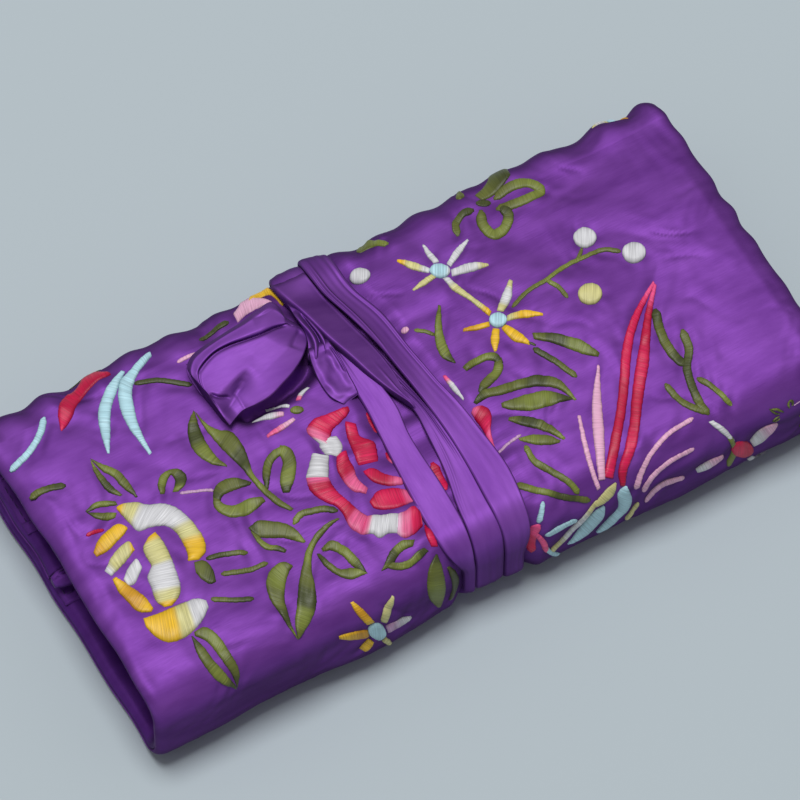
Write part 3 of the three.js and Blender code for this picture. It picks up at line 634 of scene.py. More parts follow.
def arch(s):
    """Crown of the roll's top across the strip, falling faster towards its far side."""
    return crown - np.where(s > 0, far_crown, crown) * (s / 48) ** 2


def near_bite(s):
    """Share of the tie's deepest bite, which is on the near side from fold to fold."""
    return step_up(-s, 38, 54) * step_up(s, -92, -78)


# The cover gives way under the rim of the tie's broad end.
rim_hollow = seen_on_strip(through(curve("310,348 308,363 300,377 286,390 267,402 247,412"), 30))


def over_groove(x):
    """Share of the shallow groove under the roll in which the tie lies."""
    return (step_up(x, groove_start_x - 1.5, groove_start_x)
            * step_up(-x, -groove_end_x - 1.5, -groove_end_x))


def beside(distance, reach):
    """1 up to a distance of 0, and from there a fall that fades over reach."""
    return np.exp(-np.clip(distance, 0, None) / reach)


def cover_rise(x, s):
    """Height of the satin over the ideal section: a soft crown, slack waves, sharp creases where
    they cross a level, puckers round the stitching and the pinch of the tie."""
    x, s = np.broadcast_arrays(np.asarray(x, float), np.asarray(s, float))
    top = step_up(s, -52, -34) * step_up(-s, -52, -34)
    bottom = step_up(-s, 76, 84)
    flap = step_up(s, 66, 74)
    bend_x = x + 2.4 * cloth_waves(x, s, 26, seed=1)
    bend_s = s + 2.4 * cloth_waves(x, s, 24, seed=2)
    slack = (slack_height * cloth_waves(x, s, slack_length, seed=3)
             + ripple_height * cloth_waves(bend_x, bend_s, ripple_length, 0.5, 1.8, seed=4))
    ridge = 1 - np.abs(cloth_waves(bend_x, bend_s, crease_spacing, 0.9, 1.2, seed=5)) / 0.5
    patchy = step_up(cloth_waves(x, s, 30, seed=6), 0.1, 1.2)
    crease = -crease_depth * np.clip(ridge, 0, 1) ** 1.4 * patchy
    fine = fine_height * cloth_waves(bend_x, bend_s, fine_length, seed=7)
    cover = stitched(x, s)
    around = np.clip(cover * (1 - cover) * 4, 0, 1)
    puckers = (plain_pucker + stitch_pucker * around) * cloth_waves(bend_x, bend_s, pucker_length,
                                                                   seed=8)
    pucker = -stitch_sink * cover + puckers
    away = tie_distance(x, s)
    fan = cloth_waves(0.25 * x, s, fan_length, 1.57, 0.5, seed=9)
    bitten = step_up(-away, -3.5, 1.5)
    pinch = -(tie_pinch + far_tie_pinch * step_up(s, -20, 0)) * bitten
    pinch = pinch + fan_height * fan * beside(away, 8)
    gap = np.min([(x - px) ** 2 + (s - ps) ** 2 for px, ps in rim_hollow], axis=0)
    pinch = pinch - hollow_depth * np.exp(-gap / hollow_reach ** 2)
    at_far_fold = step_up(s, 32, 44) * step_up(-s, -66, -54)
    edge = far_edge_height * cloth_waves(x, s, far_edge_length, 0.0, 0.5, seed=10) * at_far_fold
    side = (slack + crease + fine + pucker) * (1 - 0.7 * bitten)
    rise = side + top * (arch(s) + pinch) + edge
    bite = near_bite_depth * step_up(-away, -5, 1.5) + 0.5 * beside(away, 9)
    rise = rise - near_bite(s) * bite
    rise = np.maximum(rise, 0.15 - wadding_depth)
    under = -under_sink + 0.22 * np.tanh(side) - groove_depth * over_groove(x)
    inside = 0.28 * np.tanh(side) - 0.1
    rise = rise * (1 - bottom) + under * bottom
    return rise * (1 - flap) + inside * flap


def tube_faces(rows, loop):
    """Corner numbers of the quads of a closed tube: neighbours along and round it, and at each
    end the loop's first half joined to its second."""
    i, j = np.meshgrid(np.arange(rows - 1), np.arange(loop), indexing="ij")
    k = (j + 1) % loop
    walls = np.stack([i * loop + j, i * loop + k, (i + 1) * loop + k, (i + 1) * loop + j], -1)
    p = np.arange(loop // 2 - 1)
    cap = np.stack([p, loop - 1 - p, loop - 2 - p, p + 1], -1)
    far_cap = cap[:, ::-1] + (rows - 1) * loop
    return np.concatenate([walls.reshape(-1, 4), cap, far_cap])


def outward(points, faces):
    """The same faces, turned round if the volume that they enclose comes out less than 0."""
    a, b, c, d = (points[faces[:, k]] for k in range(4))
    volume = np.einsum("ij,ij->", a, np.cross(b, c)) + np.einsum("ij,ij->", a, np.cross(c, d))
    return faces if volume > 0 else faces[:, ::-1]


def make_piece(name, tubes, material, colours=None, normals=None):
    """One mesh of closed tubes. Each is (points, uv), points in rows of closed loops and uv the
    cloth's own place in millimetres."""
    points, faces, maps, start = [], [], [], 0
    for grid, uv in tubes:
        flat = grid.reshape(-1, 3)
        faces.append(outward(flat, tube_faces(*grid.shape[:2])) + start)
        points.append(flat)
        maps.append(uv.reshape(-1, 2))
        start += len(flat)
    points, faces, maps = np.concatenate(points), np.concatenate(faces), np.concatenate(maps)
    mesh = bpy.data.meshes.new(name)
    mesh.vertices.add(len(points))
    mesh.vertices.foreach_set("co", (points * mm).ravel())
    mesh.loops.add(faces.size)
    mesh.loops.foreach_set("vertex_index", faces.ravel().astype(np.int32))
    mesh.polygons.add(len(faces))
    mesh.polygons.foreach_set("loop_start", np.arange(0, faces.size, 4, dtype=np.int32))
    mesh.update(calc_edges=True)
    mesh.shade_smooth()
    layer = mesh.uv_layers.new(name="cloth")
    layer.data.foreach_set("uv", (maps[faces.ravel()] * mm).ravel())
    if colours is not None:
        paint = mesh.color_attributes.new("laid_colour_and_shade", "FLOAT_COLOR", "POINT")
        opaque = np.concatenate([colours, np.ones((len(colours), 1))], 1)
        paint.data.foreach_set("color", opaque.ravel())
    if normals is not None:
        mesh.normals_split_custom_set_from_vertices(normals)
    mesh.materials.append(material)
    piece = bpy.data.objects.new(name, mesh)
    bpy.context.scene.collection.objects.link(piece)
    return piece


def add_node(tree, kind, sockets=None, **settings):
    """A shader node with its settings, and uniform values on its sockets."""
    node = tree.nodes.new("ShaderNode" + kind)
    for name, value in settings.items():
        setattr(node, name, value)
    for name, value in (sockets or {}).items():
        node.inputs[name].default_value = value
    return node


def wire(tree, *links):
    """Links, each given as a node and its output, and the next node and its input."""
    for node, output, target, socket in links:
        tree.links.new(node.outputs[output], target.inputs[socket])


def new_material(name, sockets):
    """Node material of one shader, with uniform values on the shader's sockets."""
    material = bpy.data.materials.new(name)
    material.use_nodes = True
    tree = material.node_tree
    tree.nodes.clear()
    shader = add_node(tree, "BsdfPrincipled", sockets)
    wire(tree, (shader, "BSDF", add_node(tree, "OutputMaterial"), "Surface"))
    return material, tree, shader


def bumped(tree, shader, source, output, distance, strength=1.0):
    """Relief of the shader's surface from the output of another node."""
    bump = add_node(tree, "Bump", {"Strength": strength, "Distance": distance})
    wire(tree, (source, output, bump, "Height"), (bump, "Normal", shader, "Normal"))


def weave_group():
    """Satin weave as a shared effect: long floats across the cloth as stretched noise, slubs as
    slow bands, and small dents. It gives a colour, a roughness and a height."""
    group = bpy.data.node_groups.new("satin weave", "ShaderNodeTree")
    for name, way, kind in (("Colour", "INPUT", "Color"), ("Shade", "INPUT", "Color"),
                            ("Roughness", "INPUT", "Float"), ("Colour", "OUTPUT", "Color"),
                            ("Roughness", "OUTPUT", "Float"), ("Height", "OUTPUT", "Float")):
        group.interface.new_socket(name, in_out=way, socket_type="NodeSocket" + kind)
    given, out = group.nodes.new("NodeGroupInput"), group.nodes.new("NodeGroupOutput")
    place = add_node(group, "UVMap", uv_map="cloth")
    floats = add_node(group, "Mapping", {"Scale": (260, 2600, 1)})
    thread = add_node(group, "TexNoise", {"Scale": 1.0, "Detail": 2.0})
    slow = add_node(group, "Mapping", {"Scale": (60, 200, 1)})
    slub = add_node(group, "TexNoise", {"Scale": 1.0, "Detail": 4.0})
    share = add_node(group, "MapRange", {"From Min": 0.35, "From Max": 0.7})
    mix = add_node(group, "Mix", data_type="RGBA")
    rough = add_node(group, "Math", {1: 0.12}, operation="MULTIPLY_ADD")
    height = add_node(group, "Math", {1: 2.0}, operation="MULTIPLY_ADD")
    wire(group,
         (place, "UV", floats, "Vector"), (floats, "Vector", thread, "Vector"),
         (place, "UV", slow, "Vector"), (slow, "Vector", slub, "Vector"),
         (slub, "Fac", share, "Value"), (share, "Result", mix, "Factor"),
         (given, "Colour", mix, "A"), (given, "Shade", mix, "B"), (mix, "Result", out, "Colour"),
         (thread, "Fac", rough, 0), (given, "Roughness", rough, 2), (rough, "Value", out, "Roughness"),
         (slub, "Fac", height, 0), (thread, "Fac", height, 2), (height, "Value", out, "Height"))
    return group


satin_weave = weave_group()


def satin(name, colour, shade, roughness, gloss, bump=0.00006, with_painted_shade=False):
    """A satin: the weave's colour and height on a half metallic shader with long floats. Its colour is
    darkened where the cloth turns away from the eye, which is painted shade, and if asked also by a
    painted shade read from its colour attribute."""
    material, tree, shader = new_material(name, {
        "Metallic": gloss, "Specular IOR Level": 0.3, "Specular Tint": (0.5, 0.35, 0.6, 1),
        "Anisotropic": 0.35, "Sheen Weight": 0.05, "Sheen Roughness": 0.4,
        "Sheen Tint": (0.62, 0.42, 0.85, 1)})
    tones = {"Colour": (*linear(*colour), 1), "Shade": (*linear(*shade), 1), "Roughness": roughness}
    weave = add_node(tree, "Group", tones, node_tree=satin_weave)
    # Painted shade: the base colour darkens as the surface turns away from the eye.
    turned = add_node(tree, "LayerWeight", {"Blend": 0.5})
    fall = add_node(tree, "MapRange", {"From Min": 0.2, "From Max": 0.7, "To Min": 1.0, "To Max": 0.4})
    painted_shade_colour = add_node(tree, "VectorMath", operation="SCALE")
    wire(tree, (turned, "Facing", fall, "Value"), (weave, "Colour", painted_shade_colour, 0),
         (painted_shade_colour, "Vector", shader, "Base Color"), (weave, "Roughness", shader, "Roughness"))
    # Painted shade of the ribbon, read from its colour attribute, darkens it further.
    if with_painted_shade:
        painted_shade = add_node(tree, "Attribute", attribute_name="laid_colour_and_shade")
        both = add_node(tree, "Math", operation="MULTIPLY")
        wire(tree, (painted_shade, "Fac", both, 0), (fall, "Result", both, 1), (both, "Value", painted_shade_colour, "Scale"))
    else:
        wire(tree, (fall, "Result", painted_shade_colour, "Scale"))
    bumped(tree, shader, weave, "Height", bump, 0.6)
    return material


cover_satin = satin("cover satin", (126, 70, 164), (108, 56, 144), 0.52, 0.55)

cloth_step = 0.7
end_round = 3.0
seam_depth = panel_thickness / 2
seam_allowance = 3.6
end_turn = np.linspace(0, quarter, 7)[1:]


def end_to_end(count, reach, fall):
    """x along a row of the cloth, reaching so far round both ends, and its fall towards them."""
    flat = half_length - end_round
    x = np.concatenate([-flat - reach * np.sin(end_turn[::-1]), np.linspace(-flat, flat, count),
                        flat + reach * np.sin(end_turn)])
    rounding = fall * (1 - np.cos(end_turn))
    return x, np.concatenate([rounding[::-1], np.zeros(count), rounding])


def strip_tube(start, end, rise, face_x, face_depth, back_depth):
    """Closed loop at each s: the face from end to end, with rounded seamed ends that pucker, and
    back again along an inner face. Normals come from the surface beyond both ends of the rows."""
    back_x = np.linspace(half_length - seam_allowance, -half_length + seam_allowance, len(face_x))
    s = np.linspace(start, end, max(int((end - start) / cloth_step), 8))
    step = s[1] - s[0]
    s = np.concatenate([[s[0] - step], s, [s[-1] + step]])[:, None]
    x = np.broadcast_to(face_x, (len(s), len(face_x)))
    flatness = step_up(half_length - np.abs(x), 0, 6)
    pull = 0.2 * cloth_waves(s * np.sign(x), s, 14, 1.2, 0.6, seed=11) * (1 - flatness)
    out = rise(x, s) * flatness - face_depth
    front = on_strip(x - pull * np.sign(x) * step_up(np.abs(x), 94, 100), s, out)
    back = on_strip(np.broadcast_to(back_x, x.shape), s, -back_depth)
    grid = np.concatenate([front, back], axis=1)
    normal = np.cross(np.gradient(grid, axis=0), np.roll(grid, -1, 1) - np.roll(grid, 1, 1))
    normal /= np.linalg.norm(normal, axis=-1, keepdims=True)
    middle = len(face_x) // 2
    y, z, ny, nz = follow(section_parts, section_start, s[len(s) // 2])
    if normal[len(s) // 2, middle, 1] * ny[0] + normal[len(s) // 2, middle, 2] * nz[0] < 0:
        normal = -normal
    across = np.concatenate([face_x, back_x])
    uv = np.stack(np.broadcast_arrays(across, s), -1)
    return grid[1:-1], uv[1:-1], normal[1:-1].reshape(-1, 3)


strip_lengths = {
    "bottom": (section_start, near_spine_middle), "top": (near_spine_middle, flat_edge),
    "far": (flat_edge, far_spine_middle), "flap": (far_spine_middle, section_end),
}


def bend(piece):
    """Bakes the piece's transform into its mesh."""
    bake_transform(piece)


outer_x, outer_depth = end_to_end(int(2 * half_length / cloth_step), end_round, seam_depth)
cover_nodes = {
    "bottom": ("bottom_cover", "bottom_padding", "fold_near_bottom"),
    "top": ("near_spine_cover", "near_spine_padding", "fold_near_top", "top_cover", "top_padding"),
    "far": ("fold_far_top", "far_spine_cover", "far_spine_padding"),
    "flap": ("fold_far_flap", "flap_cover", "flap_padding"),
}
for part, nodes in cover_nodes.items():
    grid, uv, normals = strip_tube(*strip_lengths[part], cover_rise, outer_x, outer_depth,
                                   wadding_depth)
    cover = make_piece(f"cover_{part}", [(grid, uv)], cover_satin, normals=normals)
    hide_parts(*nodes)
    bend(cover)

# The lining is a darker, thinner satin on the strip's inner side, sewn to the cover along both
# ends and slightly slack at the folds.
lining_satin = satin("lining satin", (98, 48, 140), (86, 40, 124), 0.46, 0.3)
lining_depth = 3.9
fold_middles = (-72.6, -46.9, 46.9, 66.4)
lining_x, lining_rounding = end_to_end(200, end_round - 0.2, seam_depth - 0.05)


def lining_rise(x, s):
    """Slack of the lining: shallow waves along the strip, deeper in the folds."""
    x, s = np.broadcast_arrays(np.asarray(x, float), np.asarray(s, float))
    folds = sum(np.exp(-((s - middle) / 6) ** 2) for middle in fold_middles)
    pleat = cloth_waves(x, s, 9, 0, 0.8, seed=21)
    return 0.14 * cloth_waves(x, s, 18, seed=20) - folds * (0.2 + 0.3 * pleat)


lining_nodes = {
    "bottom": ("bottom_lining",), "top": ("near_spine_lining", "top_lining"),
    "far": ("far_spine_lining",), "flap": ("flap_lining",),
}
for part, nodes in lining_nodes.items():
    grid, uv, normals = strip_tube(*strip_lengths[part], lining_rise, lining_x,
                                   panel_thickness - lining_rounding, lining_depth)
    lining = make_piece(f"lining_{part}", [(grid, uv)], lining_satin, normals=-normals)
    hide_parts(*nodes)
    bend(lining)

# Both long ends of the strip are bound with a folded satin strip, padded like the rest, with a
# row of machine stitches along its inner side.
binding_satin = satin("binding satin", (126, 66, 170), (114, 56, 156), 0.46, 0.3)


def noise_over(tree, scale, detail=2.0):
    """Noise over the place in the object itself, so many waves to the metre."""
    place = add_node(tree, "TexCoord")
    noise = add_node(tree, "TexNoise", {"Scale": scale, "Detail": detail})
    wire(tree, (place, "Object", noise, "Vector"))
    return noise


def sewing_thread():
    """Dark purple thread with the bumps of its twist."""
    colour = (*linear(72, 34, 104), 1)
    material, tree, shader = new_material("sewing thread", {"Base Color": colour, "Roughness": 0.6})
    bumped(tree, shader, noise_over(tree, 3000), "Fac", 0.00005)
    return material


def belong(piece, body, slot, *nodes):
    """The body that a piece rides and the nodes that it stands for; its material slot is not used."""
    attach(piece, body)
    if nodes:
        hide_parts(*nodes)


purple_thread = sewing_thread()


def stitch_row(line, up, pitch=2.6, length=2.0, width=0.32, rise=0.16):
    """Machine stitches along a line of points: flattened domes, one each pitch, lying along it.
    Each is three rings of six points, wide in the middle and narrow at the ends."""
    at = lengths_to(line)
    stops = np.arange(pitch, at[-1] - pitch, pitch)
    middle = np.stack([np.interp(stops, at, line[:, k]) for k in range(3)], -1)
    ahead = np.stack([np.interp(stops + 0.1, at, line[:, k]) for k in range(3)], -1) - middle
    ahead /= np.linalg.norm(ahead, axis=-1, keepdims=True)
    up = np.broadcast_to(np.asarray(up, float), middle.shape)
    side = np.cross(ahead, up)
    ring = np.linspace(0, 2 * np.pi, 6, endpoint=False)
    rows = []
    for share, size in ((-0.5, 0.45), (0, 1.0), (0.5, 0.45)):
        around = (side[:, None] * (width / 2 * size * np.cos(ring))[None, :, None]
                  + up[:, None] * (rise * size * np.sin(ring))[None, :, None])
        rows.append(middle[:, None] + ahead[:, None] * length * share + around)
    grid = np.stack(rows, axis=1)
    uv = np.zeros((3, 6, 2))
    return [(one, uv) for one in grid]


def binding_tube(fold_y, foot, side):
    """Folded strip at the panel's end: a rounded nose from the outer face round to the lining,
    with fine pulls across it along its length."""
    width, nose = 4.0, panel_thickness / 2
    x = np.linspace(-half_length + 0.3, half_length - 0.3, 260)[:, None]
    turn = np.linspace(-quarter, quarter, 13)[None, :]
    pull = (1 + 0.05 * cloth_waves(x, turn, 5, 0, 0.4, seed=30)
            + 0.04 * cloth_waves(x, turn, 12, 0, 0.4, seed=31))
    y = fold_y + side * (width - nose + nose * np.cos(turn) * pull)
    z = foot + nose + nose * np.sin(turn) * (1 + (pull - 1) * 0.6)
    flat_y = fold_y + side * np.array([2.9, 1.9, 0.9, -0.2, -0.2, 0.9, 1.9]) * (width - nose) / 2.9
    rise = np.array([0, 0, 0.12, -0.1, 0.1, -0.12, 0]) * nose
    level = foot + np.array([1, 1, 1, 1, 0, 0, 0]) * panel_thickness + rise
    back = np.stack([np.broadcast_to(v, (len(x), 7)) for v in (flat_y, level)], -1)
    grid = np.concatenate([np.stack([y, z], -1), back], axis=1)
    ends = 1 - step_up(np.abs(x), half_length - 2.2, half_length - 0.2) * 0.35
    middle = np.array([fold_y + side * width / 2, foot + nose])
    grid = middle + (grid - middle) * ends[..., None]
    x_full = np.broadcast_to(x, grid.shape[:2])
    return np.concatenate([x_full[..., None], grid], -1), np.stack([x_full, grid[..., 0]], -1)


def sink_in_groove(grid):
    """The bottom binding gives way to the tie: its outer half is pushed in over the channel."""
    x, y, z = np.moveaxis(grid, -1, 0)
    over = over_groove(x)
    pushed = z * (1 - over) + over * (1.5 + 0.62 * z)
    return np.stack([x, y - over * 0.9 * step_up(y, 41.5, 45), np.maximum(z, pushed)], -1)


seam_x = np.linspace(-half_length + 1, half_length - 1, 40)


def straight(y, z):
    """Line of a seam along the strip's whole end."""
    return np.stack([seam_x, np.full(len(seam_x), y), np.full(len(seam_x), z)], -1)


for part, body, fold_y, foot, side in (("bottom", "root", bottom_far_edge, 0.0, 1),
                                       ("flap", "inner_flap", flap_edge, flap_lift, -1)):
    grid, uv = binding_tube(fold_y, foot, side)
    if part == "bottom":
        grid = sink_in_groove(grid)
    binding = make_piece(f"{part}_binding", [(grid, uv)], binding_satin)
    belong(binding, body, "satin_cover", f"{part}_edge_binding")
    seam_line = straight(fold_y + side * 0.9, foot + panel_thickness + 0.28)
    seam = make_piece(f"{part}_binding_stitches", stitch_row(seam_line, up_axis), purple_thread)
    belong(seam, body, "embroidery_thread")

# The embroidery is satin stitch in rayon floss: long parallel threads laid from side to side of
# each form, raised a little over the cover, in bands of colour that change along it.
def rayon_floss():
    """The laid colour of each stitch with its painted shade and highlight, lighter and darker in long
    threads, with their relief.
    """
    material, tree, shader = new_material("rayon floss", {"Roughness": 0.42, "Specular IOR Level": 0.35})
    paint = add_node(tree, "VertexColor", layer_name="laid_colour_and_shade")
    place = add_node(tree, "UVMap", uv_map="cloth")
    strands = add_node(tree, "Mapping", {"Scale": (3400, 110, 1)})
    noise = add_node(tree, "TexNoise", {"Scale": 1.0, "Detail": 4.0})
    shade = add_node(tree, "MapRange", {"From Min": 0.3, "From Max": 0.7, "To Min": 0.66, "To Max": 1.12})
    mix = add_node(tree, "VectorMath", operation="SCALE")
    wire(tree, (place, "UV", strands, "Vector"), (strands, "Vector", noise, "Vector"),
         (noise, "Fac", shade, "Value"), (paint, "Color", mix, 0), (shade, "Result", mix, "Scale"),
         (mix, "Vector", shader, "Base Color"))
    bumped(tree, shader, noise, "Fac", 0.00012, 0.8)
    return material


floss = rayon_floss()
stitch_columns = 10
stitch_rng = np.random.default_rng(77)


def stitched_form(form):
    """Satin stitch over one form. Its height is a flattened dome across the stitches, lower at
    both ends; single stitches reach a little past the side curves and sit a little higher."""
    side_a, side_b = form["spots"]
    rows = len(side_a)
    ragged = stitch_rng.uniform(-0.08, 0.08, (2, rows, 1))
    across = side_b - side_a
    wide = np.linalg.norm(across, axis=1, keepdims=True)
    unit = across / np.maximum(wide, 1e-6)
    side_a, side_b = side_a - unit * ragged[0], side_b + unit * ragged[1]
    v = np.linspace(0, 1, stitch_columns)[None, :, None]
    place = side_a[:, None] * (1 - v) + side_b[:, None] * v
    t = np.linspace(0, 1, rows)[:, None]
    middle = (side_a + side_b) / 2
    span = steps(middle).sum()
    end = np.clip(np.minimum(t, 1 - t) * span / 1.2, 0, 1) ** 0.5
    dome = np.clip(1 - np.abs(2 * v[..., 0] - 1) ** 2.6, 0, 1) ** 0.6
    full = 0.78 * form["height"] * np.clip(wide / 2.0, 0.55, 1)
    jitter = 1 + stitch_rng.uniform(-0.05, 0.05, (rows, 1))
    height = full * dome * (0.35 + 0.65 * end) * jitter
    height[:, [0, -1]] = -0.35
    x, s = place[..., 0], place[..., 1]
    grid = on_strip(x, s, cover_rise(x, s) + height)
    uv = np.stack(np.broadcast_arrays(lengths_to(middle)[:, None], v[0, :, 0][None, :] * wide), -1)
    return grid, uv + stitch_rng.uniform(0, 400)


def stitched_colours(form):
    """Colour of each stitch: the form's bands in turn along it, each running into the next over the
    middle half of the way, and each stitch a little lighter or darker. Across the form it is painted
    darker towards both sides as shade and a little lighter along the middle as a highlight."""
    rows = form["spots"].shape[1]
    bands = np.stack([threads[name] for name in form["colours"]])
    t = np.linspace(0, len(bands) - 1, rows) + stitch_rng.uniform(-0.06, 0.06, rows)
    t = t.clip(0, len(bands) - 1)
    index = t.astype(int).clip(0, max(len(bands) - 2, 0))
    share = step_up(t - index, 0.25, 0.75)[:, None]
    colour = bands[index] * (1 - share) + bands[np.minimum(index + 1, len(bands) - 1)] * share
    colour = colour * stitch_rng.uniform(0.95, 1.05, (rows, 1))
    # Painted shade towards both sides of each form, and a slight painted highlight along its middle.
    across = 0.43 + 0.65 * np.sin(np.linspace(0.04, 0.96, stitch_columns) * np.pi) ** 0.5
    return (colour[:, None] * across[None, :, None]).reshape(-1, 3)


for motif, forms in drawing.items():
    tubes = [stitched_form(form) for form in forms]
    colours = np.concatenate([stitched_colours(form) for form in forms])
    embroidery = make_piece(motif, tubes, floss, colours=colours)
    if motif == "bottom_flowers":
        bend(embroidery)
    else:
        bend(embroidery)

# The tie is one tube of softer satin, pressed flat and creased along its length. It is sewn
# under the roll and wound round it three times, the turns side by side, to the knot on top.
ribbon_look = dict(colour=(140, 82, 180), shade=(124, 68, 164), roughness=0.54, gloss=0.5,
                   bump=0.00002)
ribbon_satin = satin("ribbon satin", **ribbon_look)
# This ribbon satin carries painted shade in its colour attribute: the far halves of the passes and the
# folded layer are darker.
painted_shade_ribbon_satin = satin("ribbon satin with painted shade", **ribbon_look, with_painted_shade=True)
tie_seat = 0.3
tie_radius = fold_radius + tie_seat
foot_radius = 8.3
tie_floor = 1.2
tie_half_width = half_width + tie_seat
tie_parts = [
    (2 * flat_edge, -flat_edge, roll_height + tie_seat, 90, 0),
    (tie_radius * quarter, flat_edge, roll_height - fold_radius, 90, tie_radius),
    (roll_height - fold_radius - tie_floor - foot_radius, tie_half_width,
     roll_height - fold_radius, 0, 0),
    (foot_radius * quarter, bottom_far_edge, tie_floor + foot_radius, 0, foot_radius),
    (bottom_far_edge + flat_edge, bottom_far_edge, tie_floor, -90, 0),
    (tie_radius * quarter, -flat_edge, fold_radius + tie_seat, -90, tie_radius),
    (spine_height - tie_seat, -tie_half_width, fold_radius + tie_seat, 180, 0),
    (tie_radius * quarter, -flat_edge, roll_height - fold_radius, 180, tie_radius),
]
tie_round = sum(part[0] for part in tie_parts)
ribbon_width = 7.4
knot_edge = 19.7
anchor_edge = 33.0


def tie_place(q):
    """Section point and outward direction of the tie at length q from the top's middle, after
    any number of turns: the near foot is flattened so that it clears the table."""
    y, z, ny, nz = follow(tie_parts, -flat_edge, np.mod(q + flat_edge, tie_round) - flat_edge)
    low = (z < fold_radius) & (y < -flat_edge)
    z = np.where(low, fold_radius - (fold_radius - z) * (fold_radius - tie_floor) / fold_radius, z)
    return y, z, ny, nz


def turn_edges(turn, seen, far_limit, near_limit):
    """(q, left x, right x) of one pass where it shows, counted on through its turn."""
    s = np.linspace(min(far_limit, seen[0][0, 1], seen[1][0, 1]), near_limit, 40)
    return np.stack([s - turn * tie_round, edge_x(seen[0], s), edge_x(seen[1], s)], -1)


def unseen(turn, places):
    """(q, left x, right x) where a turn doesn't show, at the ribbon's own width."""
    q, x = np.array(places).T
    return np.stack([q - turn * tie_round, x - ribbon_width / 2, x + ribbon_width / 2], -1)


pass_far_end = 46
pass_near_end = -68
pass_length = 116
under_far, under_near = -tie_round + 66, -84
anchor_q = -(2 * flat_edge + 2 * tie_radius * quarter + spine_height - tie_seat + anchor_edge)
tie_run = np.concatenate([
    turn_edges(0, edge_spots[0], knot_edge + 8, pass_near_end),
    unseen(0, [(under_near, -10.5), (under_far, -6.5)]),
    turn_edges(1, edge_spots[1], pass_far_end, pass_near_end),
    unseen(1, [(under_near, -2.5), (under_far, 1.5)]),
    turn_edges(2, edge_spots[2], pass_far_end, pass_near_end),
    unseen(2, [(under_near, 5.5), (anchor_q, 9.1)])])


# Fine pleats of each pass: where they lie across it at their far and near ends, the part of its
# length that they take up, and their height.
pass_pleats = {0: [(0.1, -0.3, 0.0, 0.35, 0.12)],
               1: [(0.3, 0.62, 0.3, 0.62, 0.42), (0.62, 0.9, 0.26, 0.5, 0.34),
                   (-0.2, -0.62, 0.5, 0.75, 0.2)],
               2: [(-0.55, -0.8, 0.0, 0.3, 0.5), (0.7, 0.86, 0.0, 0.5, 0.25)]}
pleat_width = 0.09
pass_level = [0.0, 0.42, 0.95]
pass_tilt = [(0.3, 0.6), (0.0, 0.1), (-1.1, 0.1)]
pass_swell = 0.85


def hump(value, middle, reach):
    """Bell curve of height 1 about the middle."""
    return np.exp(-((value - middle) / reach) ** 2)


def soft_rim(inward, reach):
    """0 on an edge of the cloth and 1 from a reach inwards, rounded like its thickness."""
    return np.clip(inward / reach, 0, 1) ** 0.5


def on_top(s):
    """Share of the roll's flat top at s, fading out over its two folds."""
    return step_up(s, -flat_edge - 8, -flat_edge + 4) * step_up(-s, -flat_edge - 8, -flat_edge + 4)


def ribbon_profile(v, turn, progress):
    """Height over the seat across the ribbon: flat, with rounded folded edges that stand a little
    proud, slow waves, and its pass's pleats. progress runs from 0 at the far side to 1 at the
    near one."""
    total = pass_swell + 0.1 * hump(np.abs(v), 0.9, 0.08)
    total = total + 0.1 * cloth_waves(progress * 90, v * 4 + turn * 9, 24, 0.25, 0.8, seed=41)
    for number, pleats in pass_pleats.items():
        for far_v, near_v, start, stop, rise in pleats:
            t = (progress - start) / (stop - start)
            at = far_v + (near_v - far_v) * t
            fade = np.clip(1 - (2 * t - 1) ** 2, 0, 1)
            ridge = hump(v, at, pleat_width) - 0.6 * hump(v, at - 2 * pleat_width, pleat_width)
            total = total + np.where(turn == number, rise * ridge * fade, 0)
    total = total + 0.022 * cloth_waves(progress * 30, v * 9 + turn * 9, 5, quarter, 0.3, seed=42)
    rounded = np.clip(step_up(progress, 0.72, 0.9) + step_up(0.16 - progress, 0, 0.12), 0, 1)
    total = total * (1 + 0.5 * rounded)
    return total * np.clip(1 - np.abs(v) ** (16 - 12 * rounded), 0, 1) ** 0.5


